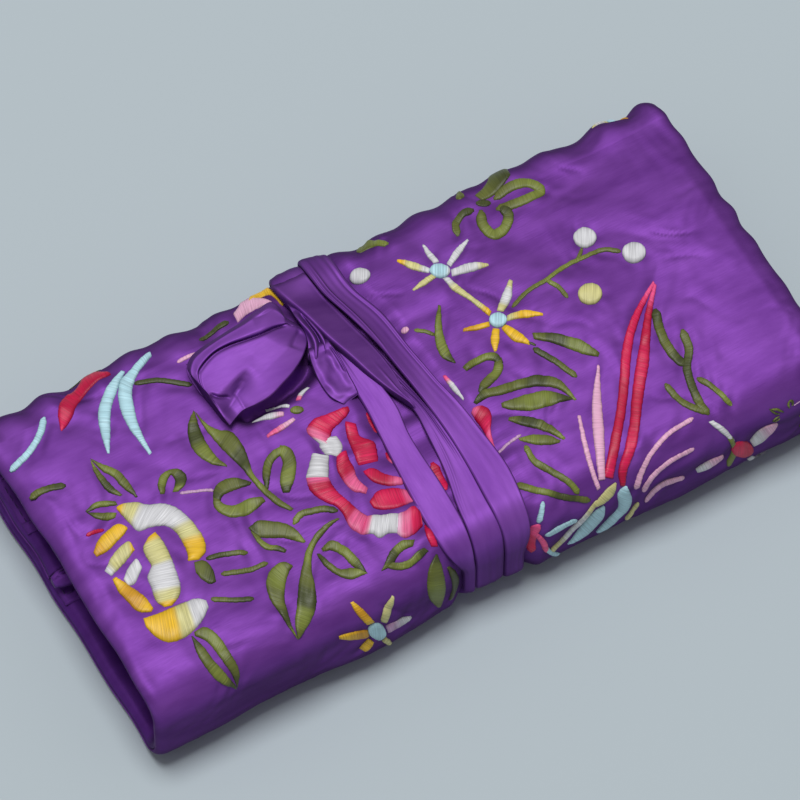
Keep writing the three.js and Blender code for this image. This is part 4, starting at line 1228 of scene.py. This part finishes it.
def ribbon_tube():
    """The wound ribbon as a closed tube: at each q a loop over its flat top and back along the
    side that lies on the roll. Points stand closer together towards both folded edges."""
    q = np.arange(tie_run[0, 0], tie_run[-1, 0], -0.8)[:, None]
    left = np.interp(-q[:, 0], -tie_run[:, 0], tie_run[:, 1])[:, None]
    right = np.interp(-q[:, 0], -tie_run[:, 0], tie_run[:, 2])[:, None]
    smooth = np.ones(5) / 5
    left, right = (np.convolve(np.pad(side[:, 0], 2, mode="edge"), smooth, "valid")[:, None]
                   for side in (left, right))
    v, on_face = there_and_back(np.sin(np.linspace(-quarter, quarter, 48)), np.linspace(1, -1, 10)[1:-1])
    x = (left + right) / 2 + (right - left) / 2 * v
    y, z, ny, nz = tie_place(q)
    turn = np.round(-q / tie_round + 0.08)
    phase = q + turn * tie_round
    hidden = step_up(phase, pass_far_end, pass_far_end + 10) + step_up(-phase, 76, 86)
    hidden = np.clip(hidden, 0, 1)
    progress = np.clip((pass_far_end - phase) / pass_length, 0, 1)
    wide, long, turns = (np.broadcast_to(value, x.shape) for value in (v, progress, turn))
    height = ribbon_profile(wide, turns, long)
    height = height * (1 - 0.15 * hidden)
    bow = on_top(phase) * (arch(phase) - tie_pinch) - near_sink * near_bite(phase)
    level = np.interp(turn, range(3), pass_level) * (1 - hidden)
    folded = (np.where(turn == 1, 1, 0) * step_up(0.5 - progress, 0, 0.15)
              * step_up(progress, 0.0, 0.1) * (1 - hidden))
    level = level - 1.7 * folded
    far_tilt, near_tilt = (np.interp(turn, range(3), tilts) for tilts in zip(*pass_tilt))
    tilt = (far_tilt * (1 - progress) + near_tilt * progress) * (1 - hidden)
    seat = bow + level + tilt * v
    back = bow - 0.3 * (1 - hidden) - 1.2 * folded
    out = np.where(on_face, height + seat, np.maximum(back, 0.2 - wadding_depth))
    grid = np.stack([x, y + ny * out, z + nz * out], -1)
    # Painted shade: the broad middle pass and the left side of the right-hand pass are darker over the
    # far half of their run.
    shade_depth = np.where(turns == 1, 0.34, 0.3 * step_up(0.5 - wide, 0, 0.7)) * (turns > 0.5)
    painted_shade = 1 - shade_depth * step_up(0.56 - long, 0, 0.26) * step_up(long, 0.0, 0.04)
    return grid, np.stack(np.broadcast_arrays(q, x), -1), painted_shade


def ribbon_overlap(edge_a, edge_b, base, rows=90):
    """A fold of the ribbon that lies flat over its own pass, between two edges: rounded along
    both, and drawn to a point at its near end."""
    side_a, side_b = (seen_on_strip(through(curve(edge), rows), 2.0) for edge in (edge_a, edge_b))
    v, on_face = there_and_back(np.sin(np.linspace(-quarter, quarter, 40)) / 2 + 0.5,
                                np.linspace(1, 0, 8)[1:-1])
    x = side_a[:, :1] * (1 - v) + side_b[:, :1] * v
    s = side_a[:, 1:] * (1 - v) + side_b[:, 1:] * v
    t = np.linspace(0, 1, rows)[:, None]
    lip = np.clip(1 - np.abs(2 * v - 1) ** 14, 0, 1) ** 0.5
    edges = 0.16 * hump(v, 0.95, 0.04) + 0.12 * hump(v, 0.05, 0.04)
    pleat = 0.3 * hump(v, 0.7 - 0.25 * t, 0.05) * step_up(t, 0.62, 0.9)
    bow = on_top(s) * (arch(s) - tie_pinch)
    lean = 0.9 + 0.2 * t - 5.4 * (v - 0.5) * (1 - t) ** 0.7 * step_up(t, 0.0, 0.22)
    swell = 0.75 + 0.08 * cloth_waves(t * 70, v * 5, 22, 0.3, 0.8, seed=46)
    ends = soft_rim(np.minimum(t, 1 - t), 0.04)
    out = tie_seat + bow + base + (swell + lean + edges + pleat) * lip * ends
    out = np.where(on_face, out, tie_seat + bow - 0.3)
    # Painted shade: the folded layer is darker, except towards its near end and along its left edge.
    painted_shade = 1 - 0.34 * (1 - step_up(t, 0.75, 1.0)) * (1 - 0.6 * hump(v, 0.06, 0.05))
    return on_strip(x, s, out), np.stack([x, s], -1), painted_shade


over_fold = ribbon_overlap(
    "268,283 285,300 304,318 322,336 345,356 370,378 392,394 405,402 415,408",
    "302,268 318,284 337,305 352,321 370,340 388,362 396,374 403,388 416,407", 0.45)


def squash_flat(piece):
    """The tie would be taken off by hand. The piece gets a mesh of its own."""
    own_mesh(piece)


ribbon = ribbon_tube()
# Painted shade of the wound ribbon, carried in its colour attribute.
painted_shade = np.concatenate([ribbon[2].ravel(), over_fold[2].ravel()])[:, None] * np.ones(3)
winding = make_piece("tie_ribbon", [ribbon[:2], over_fold[:2]], painted_shade_ribbon_satin, colours=painted_shade)
belong(winding, "root", "ribbon_satin", "tie_winding")
squash_flat(winding)
patch_box = np.array(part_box("tie_anchor_patch")) / mm


def patch_tube(low, high, rows=14):
    """A flat sewn patch with soft edges: a rounded rectangle in the plane, domed a little."""
    t = np.linspace(-1, 1, rows)[:, None]
    v, on_face = there_and_back(np.linspace(-1, 1, 10), np.linspace(1, -1, 10))
    middle, half = (low + high) / 2, (high - low) / 2
    x = middle[0] + half[0] * v * (1 - 0.06 * np.abs(t) ** 4)
    y = middle[1] + half[1] * t + 0 * v
    lift = half[2] * np.clip(1 - np.abs(v) ** 6, 0, 1) ** 0.5 * (1 - 0.5 * np.abs(t) ** 6)
    z = middle[2] + np.where(on_face, lift, -lift)
    return np.stack([x, y, z], -1), np.stack([x, y], -1)


patch = make_piece("anchor_patch", [patch_tube(*patch_box)], ribbon_satin)
belong(patch, "root", "ribbon_satin", "tie_anchor_patch")

# The knot and the two loose ends are the same ribbon, crumpled by hand. Each surface is laid out
# between guide curves in the photograph, and its height over the roll sets its place.
table_of_roll = roll_height + 0.5


def laid_out(guides, heights, rows, columns, shares):
    """Surface between guide curves, from root to tip: positions mix neighbouring guides smoothly
    by their shares across, and heights(u, v, pixels) above the table puts each pixel in space."""
    curves = np.stack([through(curve(guide), rows) for guide in guides])
    v = 0.5 + 0.5 * np.sin(np.linspace(-quarter, quarter, columns))
    k = np.clip(np.searchsorted(shares, v, side="right") - 1, 0, len(shares) - 2)
    f = (v - np.take(shares, k)) / (np.take(shares, k + 1) - np.take(shares, k))
    pixels = curves[k] * (1 - f)[:, None, None] + curves[k + 1] * f[:, None, None]
    pixels = pixels.transpose(1, 0, 2)
    u, v = np.meshgrid(np.linspace(0, 1, rows), v, indexing="ij")
    z = heights(u, v, pixels)
    ray = sight(pixels)
    top = eye + ray * ((z - eye[2]) / ray[..., 2])[..., None]
    under_share = np.array([0.8, 0.68, 0.56, 0.44, 0.32, 0.2])[None, :, None]
    under = top[:, -1:, :] * under_share + top[:, :1, :] * (1 - under_share)
    under[..., 2] = np.minimum(under[..., 2], table_of_roll + 0.2)
    grid = np.concatenate([top, under], axis=1)
    return grid, grid[..., :2].copy()


def crease(pixels, line, reach, depth, slope=0.0):
    """A fold along a line of pixels: a narrow fall on the line, fading towards its ends. With a
    slope in pixels, the fall on the line's left runs out slowly over that length."""
    line = through(curve(line), 24)
    away = np.full(pixels.shape[:-1], 1e9)
    side = np.zeros(pixels.shape[:-1])
    fade = np.zeros(pixels.shape[:-1])
    for number, (a, b) in enumerate(zip(line[:-1], line[1:])):
        run = b - a
        t = np.clip(((pixels - a) @ run) / (run @ run), 0, 1)
        off = pixels - a - t[..., None] * run
        gap = np.linalg.norm(off, axis=-1)
        closer = gap < away
        away = np.where(closer, gap, away)
        side = np.where(closer, np.sign(run[0] * off[..., 1] - run[1] * off[..., 0]), side)
        fade = np.where(closer, (number + t) / (len(line) - 1), fade)
    fade = np.clip(1 - (np.clip(np.abs(fade - 0.5) - 0.3, 0, None) / 0.2) ** 2, 0, 1)
    fall = np.exp(-((away / reach) ** 2))
    if slope:
        fall = np.where(side < 0, np.maximum(fall, np.exp(-away / slope)), fall)
    return -depth * fall * fade


long_crease = 0.62
wedge_depth = 2.9


def end_heights(u, v, pixels):
    """Height of the broad end: a puffy body that rises from its free rim to the long crease, and
    beyond that a folded flap that falls away, with the creases that the cloth takes there."""
    body = 4.8 + 3.2 * np.clip(v / long_crease, 0, 1) ** 0.85
    flap = 7.5 + 0.6 * step_up(v, long_crease, 0.7) - 0.3 * step_up(v, 0.7, 0.9)
    flap = flap - 1.8 * step_up(v, 0.9, 1.0)
    z = table_of_roll + np.where(v < long_crease, body, flap)
    z = z - 2.0 * step_up(0.22 - u, 0, 0.22) - 1.3 * step_up(u, 0.5, 1.0)
    z = z + crease(pixels, "288,325 275,328 262,334 245,340 228,346 215,353 205,363 197,375",
                   1.3, 1.5)
    top, run = np.array([248.0, 365.0]), np.array([-30.0, 31.0])
    along_it = (pixels - top) @ run / (run @ run)
    off = ((pixels - top) @ np.array([run[1], -run[0]])) / np.linalg.norm(run)
    wall = 3 + 13 * along_it.clip(0, 1)
    wedge = np.where(off < wall, (off / wall).clip(0, 1), beside(off - wall, 14))
    z = z - wedge_depth * wedge * step_up(along_it, -0.05, 0.6) * (1 - step_up(along_it, 0.95, 1.3))
    z = z + crease(pixels, "232,390 238,397 243,405 247,411", 1.6, 0.35, 5)
    z = z + crease(pixels, "210,394 218,397 230,397", 1.6, 1.0)
    z = z + crease(pixels, "301,331 296,338 292,348", 3.4, 0.7, 9)
    z = z + crease(pixels, "276,306 266,313 252,319", 2.6, 0.5, 5)
    tip = soft_rim(1 - u, 0.03) * soft_rim(u, 0.02)
    return z - 0.5 * (1 - soft_rim(np.minimum(v, 1 - v), 0.022)) - 0.5 * (1 - tip)


end_guides = [
    "303,328 307,340 304,354 295,370 283,384 270,397 256,405 243,411 236,418 230,426",
    "296,326 294,340 284,352 271,364 257,377 245,388 237,398 231,407 224,418",
    "287,324 274,329 262,334 245,340 228,346 215,353 205,363 199,374 201,384 213,399",
    "285,317 281,309 272,302 257,310 244,320 230,329 216,338 202,347 190,358 187,368 195,380",
]
fold_guides = [
    "186,364 188,375 194,385 203,396 213,401",
    "200,362 204,373 209,381 216,388 224,394",
]


def fold_heights(u, v, pixels):
    """The cloth folded under the broad end's tip lies flat on the roll."""
    return table_of_roll + 0.6 + 1.1 * v + 0 * u


def tie_piece(name, tubes, body, node):
    """The knot or a loose end, on its body and with a mesh of its own."""
    piece = make_piece(name, tubes, ribbon_satin)
    belong(piece, body, "ribbon_satin", node)
    squash_flat(piece)


end_tube = laid_out(end_guides, end_heights, 110, 96, [0, 0.32, long_crease, 1])
fold_tube = laid_out(fold_guides, fold_heights, 24, 12, [0, 1])
tie_piece("tie_broad_end", [end_tube, fold_tube], "tie_end", "tie_end")


def tail_heights(u, v, pixels):
    """Height of the short end: a pleated strip, high beside the knot and flat at its tip, with a
    ridge along its left and a hollow in its middle."""
    z = table_of_roll + 1.6 + 2.2 * (1 - u) ** 1.3
    z = z + 0.1 * cloth_waves(pixels[..., 0], pixels[..., 1], 14, seed=52)
    z = z - crease(pixels, "310,346 316,362 326,380 342,398", 5.0, 0.7)
    z = z + crease(pixels, "326,350 333,364 342,378 350,390", 5.0, 0.8)
    z = z + crease(pixels, "330,346 338,358 346,372", 1.4, 0.8)
    floor = table_of_roll - 0.5
    ends = step_up(u, 0, 0.14) * (0.5 + 0.5 * soft_rim(1 - u, 0.04))
    return floor + (z - floor) * (0.7 + 0.3 * soft_rim(np.minimum(v, 1 - v), 0.04)) * ends


tail_guides = [
    "307,342 309,356 313,369 320,384 330,397 345,405",
    "316,338 321,352 328,367 335,380 342,391 350,400",
    "324,335 335,349 344,364 350,376 356,387 359,394",
]
tail_tube = laid_out(tail_guides, tail_heights, 64, 60, [0, 0.5, 1])
tie_piece("tie_short_end", [tail_tube], "tie_tail", "tie_tail")


def knot_heights(u, v, pixels):
    """Height of the knot: a tight band with two sharp ridges along it and a hollow between."""
    z = table_of_roll + 1.5 + 1.2 * np.sin(np.pi * np.clip(u, 0, 1)) ** 0.8
    z = z - crease(pixels, "293,312 302,323 310,332 315,342 316,354 315,366", 3.4, 2.2)
    z = z - crease(pixels, "306,318 316,329 324,341 327,356", 2.6, 1.3)
    z = z + crease(pixels, "299,313 309,325 318,338 321,350 320,364", 1.4, 1.4)
    floor = table_of_roll - 0.4
    sides = 0.3 + 0.7 * soft_rim(np.minimum(v, 1 - v), 0.05)
    return floor + (z - floor) * sides * soft_rim(np.minimum(u, 1 - u), 0.08)


knot_guides = [
    "286,302 294,316 302,328 307,342 307,360",
    "296,306 304,318 313,332 317,347 315,365",
    "302,312 312,322 322,334 327,347 325,362",
]
knot_tube = laid_out(knot_guides, knot_heights, 64, 56, [0, 0.5, 1])
tie_piece("knot", [knot_tube], "top_panel", "tie_knot")

# Three pockets on the lining: each a single layer of satin with a turned hem beside its zip,
# sewn down along its other sides.
pocket_satin = satin("pocket satin", (112, 58, 154), (100, 50, 140), 0.48, 0.28)
hem_width = 2.5
sewn_width = 1.3


def pocket_tube(low, high, face, hem_side):
    """Sewn-down cloth over the lining: thin at its three sewn sides, a doubled band at the hem,
    slack waves between. face is 1 where its outer side looks up, -1 where it looks down."""
    t = np.linspace(0, 1, 60)[:, None]
    v, on_face = there_and_back(np.linspace(-1, 1, 150), np.linspace(1, -1, 10))
    x = (low[0] + high[0]) / 2 + (high[0] - low[0]) / 2 * v + 0 * t
    y = low[1] + (high[1] - low[1]) * t + 0 * v
    from_hem = (y - low[1]) if hem_side < 0 else (high[1] - y)
    to_edge = np.minimum(np.minimum(x - low[0], high[0] - x), (high[1] - low[1]) - from_hem)
    slack = 0.12 * cloth_waves(x, y, 24, seed=60) + 0.05 * cloth_waves(x, y, 9, 1.3, 0.8, seed=61)
    height = 0.5 + slack * np.clip(to_edge / 5, 0, 1)
    hem_ripple = 0.06 * np.cos(from_hem * 2.2) * (from_hem < 3)
    height = height + 0.35 * step_up(-from_hem, -3.4, -3.0) + hem_ripple
    dip = hump(to_edge, sewn_width, 0.35) + hump(from_hem, hem_width, 0.3)
    height = np.clip(height * np.clip(to_edge / 0.5, 0.2, 1) ** 0.5 - 0.1 * dip, 0.05, 1.25)
    base = low[2] if face > 0 else high[2]
    z = np.where(on_face, base + face * height, base - face * 0.15)
    return np.stack([x, y, z], -1), np.stack([x, y], -1)


def pocket(prefix, body, face, hem_side):
    """A pocket's cloth and the machine stitches along its hem and its three sewn sides."""
    low, high = np.array(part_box(f"{prefix}_pocket_cloth")) / mm
    cloth = make_piece(f"{prefix}_pocket", [pocket_tube(low, high, face, hem_side)], pocket_satin)
    belong(cloth, body, "pocket_satin", f"{prefix}_pocket_cloth")
    level = (low[2] if face > 0 else high[2]) + face * 0.5
    hem_y = low[1] + hem_width if hem_side < 0 else high[1] - hem_width
    back_y = high[1] - sewn_width if hem_side < 0 else low[1] + sewn_width
    rows = []
    for y, lift in ((hem_y, 0.4), (back_y, 0.02)):
        rows += stitch_row(straight(y, level + face * lift), (0, 0, face))
    side_y = np.linspace(low[1] + 1, high[1] - 1, 12)
    for x in (low[0] + sewn_width, high[0] - sewn_width):
        line = np.stack([np.full(12, x), side_y, np.full(12, level)], -1)
        rows += stitch_row(line, (0, 0, face))
    belong(make_piece(f"{prefix}_pocket_stitches", rows, purple_thread), body, "embroidery_thread")


pocket("bottom", "root", 1, -1)
pocket("flap", "inner_flap", 1, -1)
pocket("top", "top_panel", -1, 1)

# Zips: a woven tape with a nylon coil down its middle, a metal stop at each end, and a die-cast
# gilt slider with its pull. The slider and pull keep the frame's shape, with their edges eased.
def two_tones(tree, shader, source, output, tone_a, tone_b):
    """Base colour mixed from two tones by the output of another node."""
    tones = {"A": (*linear(*tone_a), 1), "B": (*linear(*tone_b), 1)}
    mix = add_node(tree, "Mix", tones, data_type="RGBA")
    wire(tree, (source, output, mix, "Factor"), (mix, "Result", shader, "Base Color"))


def zip_tape_weave():
    """Purple tape with slanting ribs."""
    material, tree, shader = new_material("zip tape weave", {"Roughness": 0.8})
    place = add_node(tree, "UVMap", uv_map="cloth")
    ribs = add_node(tree, "TexWave", {"Scale": 600, "Distortion": 0.6, "Detail Scale": 2.0},
                    bands_direction="DIAGONAL")
    wire(tree, (place, "UV", ribs, "Vector"))
    two_tones(tree, shader, ribs, "Fac", (66, 32, 98), (88, 46, 126))
    bumped(tree, shader, ribs, "Fac", 0.0001)
    return material


def nylon_coil():
    """Smooth purple nylon, slightly uneven in colour."""
    material, tree, shader = new_material("nylon coil", {"Roughness": 0.35})
    two_tones(tree, shader, noise_over(tree, 900), "Fac", (84, 44, 120), (104, 60, 142))
    return material


def gilt_metal():
    """Gilt die-cast metal: clouds in its colour and gloss, and a fine grain."""
    material, tree, shader = new_material("gilt metal", {"Metallic": 1.0})
    cloud = noise_over(tree, 260, 5)
    two_tones(tree, shader, cloud, "Fac", (214, 172, 104), (188, 142, 78))
    rough = add_node(tree, "MapRange", {"To Min": 0.2, "To Max": 0.42})
    wire(tree, (cloud, "Fac", rough, "Value"), (rough, "Result", shader, "Roughness"))
    bumped(tree, shader, noise_over(tree, 2400), "Fac", 0.00001)
    return material


tape_cloth, nylon, gilt = zip_tape_weave(), nylon_coil(), gilt_metal()


def eased(node, name, body, ease=0.16):
    """A copy of a frame piece with its corners joined and its edges rounded off."""
    piece = bpy.data.objects.new(name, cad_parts[node].data.copy())
    bpy.context.scene.collection.objects.link(piece)
    weld = piece.modifiers.new("weld", "WELD")
    weld.merge_threshold = 0.00002
    bevel = piece.modifiers.new("ease", "BEVEL")
    bevel.width = ease * mm
    bevel.segments = 2
    bevel.limit_method = "ANGLE"
    bevel.angle_limit = math.radians(35)
    piece.data.materials.clear()
    piece.data.materials.append(gilt)
    belong(piece, body, "gold_metal", node)


def soft_block(low, high, power=5, rows=10):
    """A small block with rounded edges: a superellipse section along y, closing at both ends."""
    middle, half = (low + high) / 2, (high - low) / 2
    t = np.sin(np.linspace(-quarter, quarter, rows))[:, None]
    size = np.clip(1 - np.abs(t) ** power, 0.02, 1) ** (1 / power)
    turn = np.linspace(0, 2 * np.pi, 20, endpoint=False)[None, :] + 0.01
    c, d = np.cos(turn), np.sin(turn)
    x = middle[0] + half[0] * size * np.sign(c) * np.abs(c) ** (2 / power)
    z = middle[2] + half[2] * size * np.sign(d) * np.abs(d) ** (2 / power)
    y = middle[1] + half[1] * t + 0 * turn
    return np.stack([x, y, z], -1), np.stack([x, y], -1)


tooth_pitch = 1.06
coil_reach = 78.4
tooth_lean = 0.22
tooth_half_width = 1.02
coil_height = 1.02
coil_loop = (0.43, 0.5)
stop_x = 80
tape_seam = 4.6


def tape_tube(low, high, face):
    """The tape with two raised cords along each half: beside the coil and along its edge."""
    base = low[2] if face > 0 else high[2]
    x = np.linspace(low[0], high[0], 120)[:, None]
    v, on_face = there_and_back(np.linspace(-1, 1, 25), np.linspace(1, -1, 7))
    cords = 0.12 * hump(np.abs(v), 0.94, 0.05) + 0.1 * hump(np.abs(v), 0.3, 0.05)
    height = 0.5 + cords + 0.03 * cloth_waves(x, v, 12, 0, 0.3, seed=62)
    height = height * np.clip((1 - np.abs(v)) / 0.02, 0.2, 1)
    z = np.where(on_face, base + face * height, base - face * 0.1)
    y = (low[1] + high[1]) / 2 + (high[1] - low[1]) / 2 * v + 0 * x
    grid = np.stack(np.broadcast_arrays(x, y, z), -1)
    return grid, grid[..., :2].copy()


def coil_teeth(middle_y, base, face):
    """Turns of the coil across the tape, leaning to either side in turn."""
    t = np.array([-1.0, -0.85, 0, 0.85, 1.0])[:, None]
    turn = np.linspace(0, 2 * np.pi, 8, endpoint=False)[None, :]
    size = np.sqrt(np.clip(1 - t**2, 0.04, 1)) ** 0.7
    teeth = []
    for number, stop in enumerate(np.arange(-coil_reach, coil_reach, tooth_pitch)):
        shift = tooth_lean if number % 2 else -tooth_lean
        tooth = np.stack([stop + coil_loop[0] * size * np.cos(turn),
                          middle_y + shift + tooth_half_width * t + 0 * turn,
                          base + face * (coil_height + coil_loop[1] * size * np.sin(turn))], -1)
        teeth.append((tooth, tooth[..., :2]))
    return teeth


def zip_fastener(prefix, panel_body, slider_body, pull_body, face):
    """One zip on its panel; face is 1 where it looks up in the closed roll, -1 where down."""
    low, high = np.array(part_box(f"{prefix}_zip_tape")) / mm
    base = low[2] if face > 0 else high[2]
    middle_y = (low[1] + high[1]) / 2
    tape = make_piece(f"{prefix}_tape", [tape_tube(low, high, face)], tape_cloth)
    belong(tape, panel_body, "zip_tape", f"{prefix}_zip_tape")
    coil = make_piece(f"{prefix}_coil", coil_teeth(middle_y, base, face), nylon)
    belong(coil, panel_body, "zip_tape")
    levels = sorted((base + face * 0.4, base + face * 2.2))
    ends = [soft_block(np.array([x - 1.5, middle_y - 2, levels[0]]),
                       np.array([x + 1.5, middle_y + 2, levels[1]])) for x in (-stop_x, stop_x)]
    belong(make_piece(f"{prefix}_zip_stops", ends, gilt), panel_body, "gold_metal")
    eased(f"{prefix}_zip_slider", f"{prefix}_slider_metal", slider_body)
    eased(f"{prefix}_zip_pull", f"{prefix}_pull_metal", pull_body)
    seam_x = np.linspace(low[0] + 1, high[0] - 1, 20)
    rows = []
    for y in (middle_y - tape_seam, middle_y + tape_seam):
        line = np.stack([seam_x, np.full(20, y), np.full(20, base + face * 0.52)], -1)
        rows += stitch_row(line, (0, 0, face))
    seam = make_piece(f"{prefix}_tape_stitches", rows, purple_thread)
    belong(seam, panel_body, "embroidery_thread")


zip_fastener("bottom", "root", "bottom_slider", "bottom_pull", 1)
zip_fastener("flap", "inner_flap", "flap_slider", "flap_pull", 1)
zip_fastener("top", "top_panel", "top_slider", "top_pull", -1)

# The ring bar is a firmly stuffed satin tube, gathered at both ends. One end is sewn down by a
# folded tab, the other has a strap that snaps on a gilt stud.
bar_map_length = 140
bar_map_width = 7


def bar_tube(low, high):
    """A stuffed tube between two corners of a box, with half round, gathered ends."""
    run = np.concatenate([np.linspace(0, 0.04, 12), np.linspace(0.04, 0.96, 90)[1:-1],
                          np.linspace(0.96, 1, 12)])[:, None]
    turn = np.linspace(0, 2 * np.pi, 48, endpoint=False)[None, :]
    radius = (high[2] - low[2]) / 2
    from_end = np.minimum(run, 1 - run) * (high[0] - low[0])
    rounding = np.sqrt(np.clip(1 - (1 - np.clip(from_end / 5.0, 0, 1)) ** 2, 0.02, 1))
    gather = 1 - 0.045 * np.cos(15 * turn) * np.exp(-from_end / 5) * np.clip(from_end / 1.0, 0, 1)
    uv = np.stack(np.broadcast_arrays(run * bar_map_length, turn * bar_map_width), -1)
    slack = 1 + 0.012 * cloth_waves(uv[..., 0], uv[..., 1], 16, 0.0, 1.2, seed=63) - 0.012
    size = np.minimum(radius * rounding * gather * slack, radius)
    middle = (low + high) / 2
    grid = np.stack([low[0] + (high[0] - low[0]) * run + 0 * turn,
                     middle[1] + size * np.cos(turn), middle[2] + size * np.sin(turn)], -1)
    return grid, uv


bar_box = np.array(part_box("ring_bar")) / mm
ring_bar = make_piece("ring_bar_satin", [bar_tube(*bar_box)], pocket_satin)
belong(ring_bar, "root", "pocket_satin", "ring_bar")


def bent_strip(path, y0, y1, thickness, rounded=0.0):
    """A doubled satin strip along a path in x and z: a flat section with soft edges, narrowing
    to a half round at its far end where rounded is its radius."""
    line = through(path, 40)
    run = np.gradient(line, axis=0)
    run /= np.linalg.norm(run, axis=1, keepdims=True)
    side = np.stack([-run[:, 1], run[:, 0]], 1)
    v, on_face = there_and_back(np.linspace(-1, 1, 20), np.linspace(1, -1, 20))
    at = lengths_to(line)[:, None]
    left = at[-1] - at
    wide = 1 + 0 * left
    if rounded:
        wide = np.sqrt(np.clip(1 - (1 - np.clip(left / rounded, 0, 1)) ** 2, 0.002, 1))
    lift = np.clip(1 - np.abs(v) ** 6, 0, 1) ** 0.5 - 0.12 * hump(np.abs(v), 0.78, 0.06)
    lift = thickness / 2 * lift * np.clip(np.minimum(at, left) / 0.3, 0.4, 1)
    lift = np.where(on_face, lift, -lift)
    y = (y0 + y1) / 2 + (y1 - y0) / 2 * v * wide + 0 * at
    grid = np.stack([line[:, :1] + side[:, :1] * lift, y, line[:, 1:] + side[:, 1:] * lift], -1)
    return grid, np.stack([at + 0 * v, y], -1)


tab_low, tab_high = np.array(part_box("ring_bar_seam_tab")) / mm
tab_path = [(tab_low[0] + 0.2, tab_low[2] + 0.75), (tab_low[0] + 3, tab_low[2] + 0.8),
            (tab_high[0] - 2.6, tab_low[2] + 1.1), (tab_high[0] - 1.1, tab_low[2] + 3),
            (tab_high[0] - 0.8, tab_high[2] - 3), (tab_high[0] - 0.75, tab_high[2] - 0.2)]
tab_tube = bent_strip(tab_path, tab_low[1] + 0.2, tab_high[1] - 0.2, 1.3)
seam_tab = make_piece("seam_tab", [tab_tube], pocket_satin)
belong(seam_tab, "root", "pocket_satin", "ring_bar_seam_tab")
tab_rows = []
tab_y = np.linspace(tab_low[1] + 0.5, tab_high[1] - 0.5, 10)
for tab_x in (tab_low[0] + 1.2, tab_low[0] + 4.0):
    tab_line = np.stack([np.full(10, tab_x), tab_y, np.full(10, tab_low[2] + 1.45)], -1)
    tab_rows += stitch_row(tab_line, up_axis, pitch=2.0, length=1.5)
belong(make_piece("seam_tab_stitches", tab_rows, purple_thread), "root", "embroidery_thread")

strap_low, strap_high = np.array(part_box("ring_bar_strap")) / mm
strap_y, strap_z = ((strap_low + strap_high) / 2)[1:]
strap_radius = 5
border_radius = 3.8
strap_path = [(x, strap_z) for x in (strap_low[0], strap_low[0] + strap_radius,
                                     strap_high[0] - strap_radius, strap_high[0])]
strap_tube = bent_strip(strap_path, strap_low[1], strap_high[1], strap_high[2] - strap_low[2],
                        strap_radius)
strap = make_piece("strap_satin", [strap_tube], pocket_satin)
belong(strap, "ring_strap", "pocket_satin", "ring_bar_strap")
border_turn = np.linspace(-quarter, quarter, 24)
border_x = np.concatenate([[strap_low[0] + 1],
                           strap_high[0] - strap_radius + border_radius * np.cos(border_turn),
                           [strap_low[0] + 1]])
border_y = np.concatenate([[strap_y - border_radius], strap_y + border_radius * np.sin(border_turn),
                           [strap_y + border_radius]])
border = np.stack([border_x, border_y, np.full(len(border_x), strap_high[2] - 0.08)], -1)
border_rows = stitch_row(border, up_axis, pitch=1.9, length=1.4)
belong(make_piece("strap_stitches", border_rows, purple_thread), "ring_strap", "embroidery_thread")
eased("snap_stud", "snap_stud_metal", "root", 0.12)
eased("snap_socket", "snap_socket_metal", "ring_strap", 0.12)

# A plain pale table under the roll, not part of it.
table_reach = 3
table_corners = [(x * table_reach, y * table_reach, 0) for x, y in ((-1, -1), (1, -1), (1, 1), (-1, 1))]
table_mesh = bpy.data.meshes.new("table")
table_mesh.from_pydata(table_corners, [], [(0, 1, 2, 3)])
table_look = {"Base Color": (*linear(179, 190, 196), 1), "Roughness": 0.9, "Specular IOR Level": 0.1}
table_mesh.materials.append(new_material("pale table", table_look)[0])
table = bpy.data.objects.new("table", table_mesh)
bpy.context.scene.collection.objects.link(table)

# Soft studio light: one broad lamp high over the roll, slightly behind it, and an even room.
def soft_lamp(name, heading, size, watts, distance=2.5):
    """A round lamp that looks at the roll from a heading, with its size and distance in metres."""
    lamp_data = bpy.data.lights.new(name, "AREA")
    lamp_data.shape = "DISK"
    lamp_data.size = size
    lamp_data.energy = watts
    lamp = bpy.data.objects.new(name, lamp_data)
    direction = np.asarray(heading, float) / np.linalg.norm(heading)
    side = np.cross((0, 1, 0), direction)
    side /= np.linalg.norm(side)
    turned = np.column_stack([side, np.cross(direction, side), direction])
    lamp.matrix_world = Matrix(turned.tolist()).to_4x4()
    lamp.matrix_world.translation = direction * distance
    bpy.context.scene.collection.objects.link(lamp)


soft_lamp("key lamp", heading=(-0.05, 0.08, 1.0), size=1.2, watts=48)
room_strength = 0.275
world = bpy.data.worlds.new("room")
world.use_nodes = True
room = world.node_tree.nodes["Background"]
room.inputs["Color"].default_value = (1, 1, 1, 1)
room.inputs["Strength"].default_value = room_strength
bpy.context.scene.world = world
bpy.context.scene.view_settings.view_transform = "Standard"
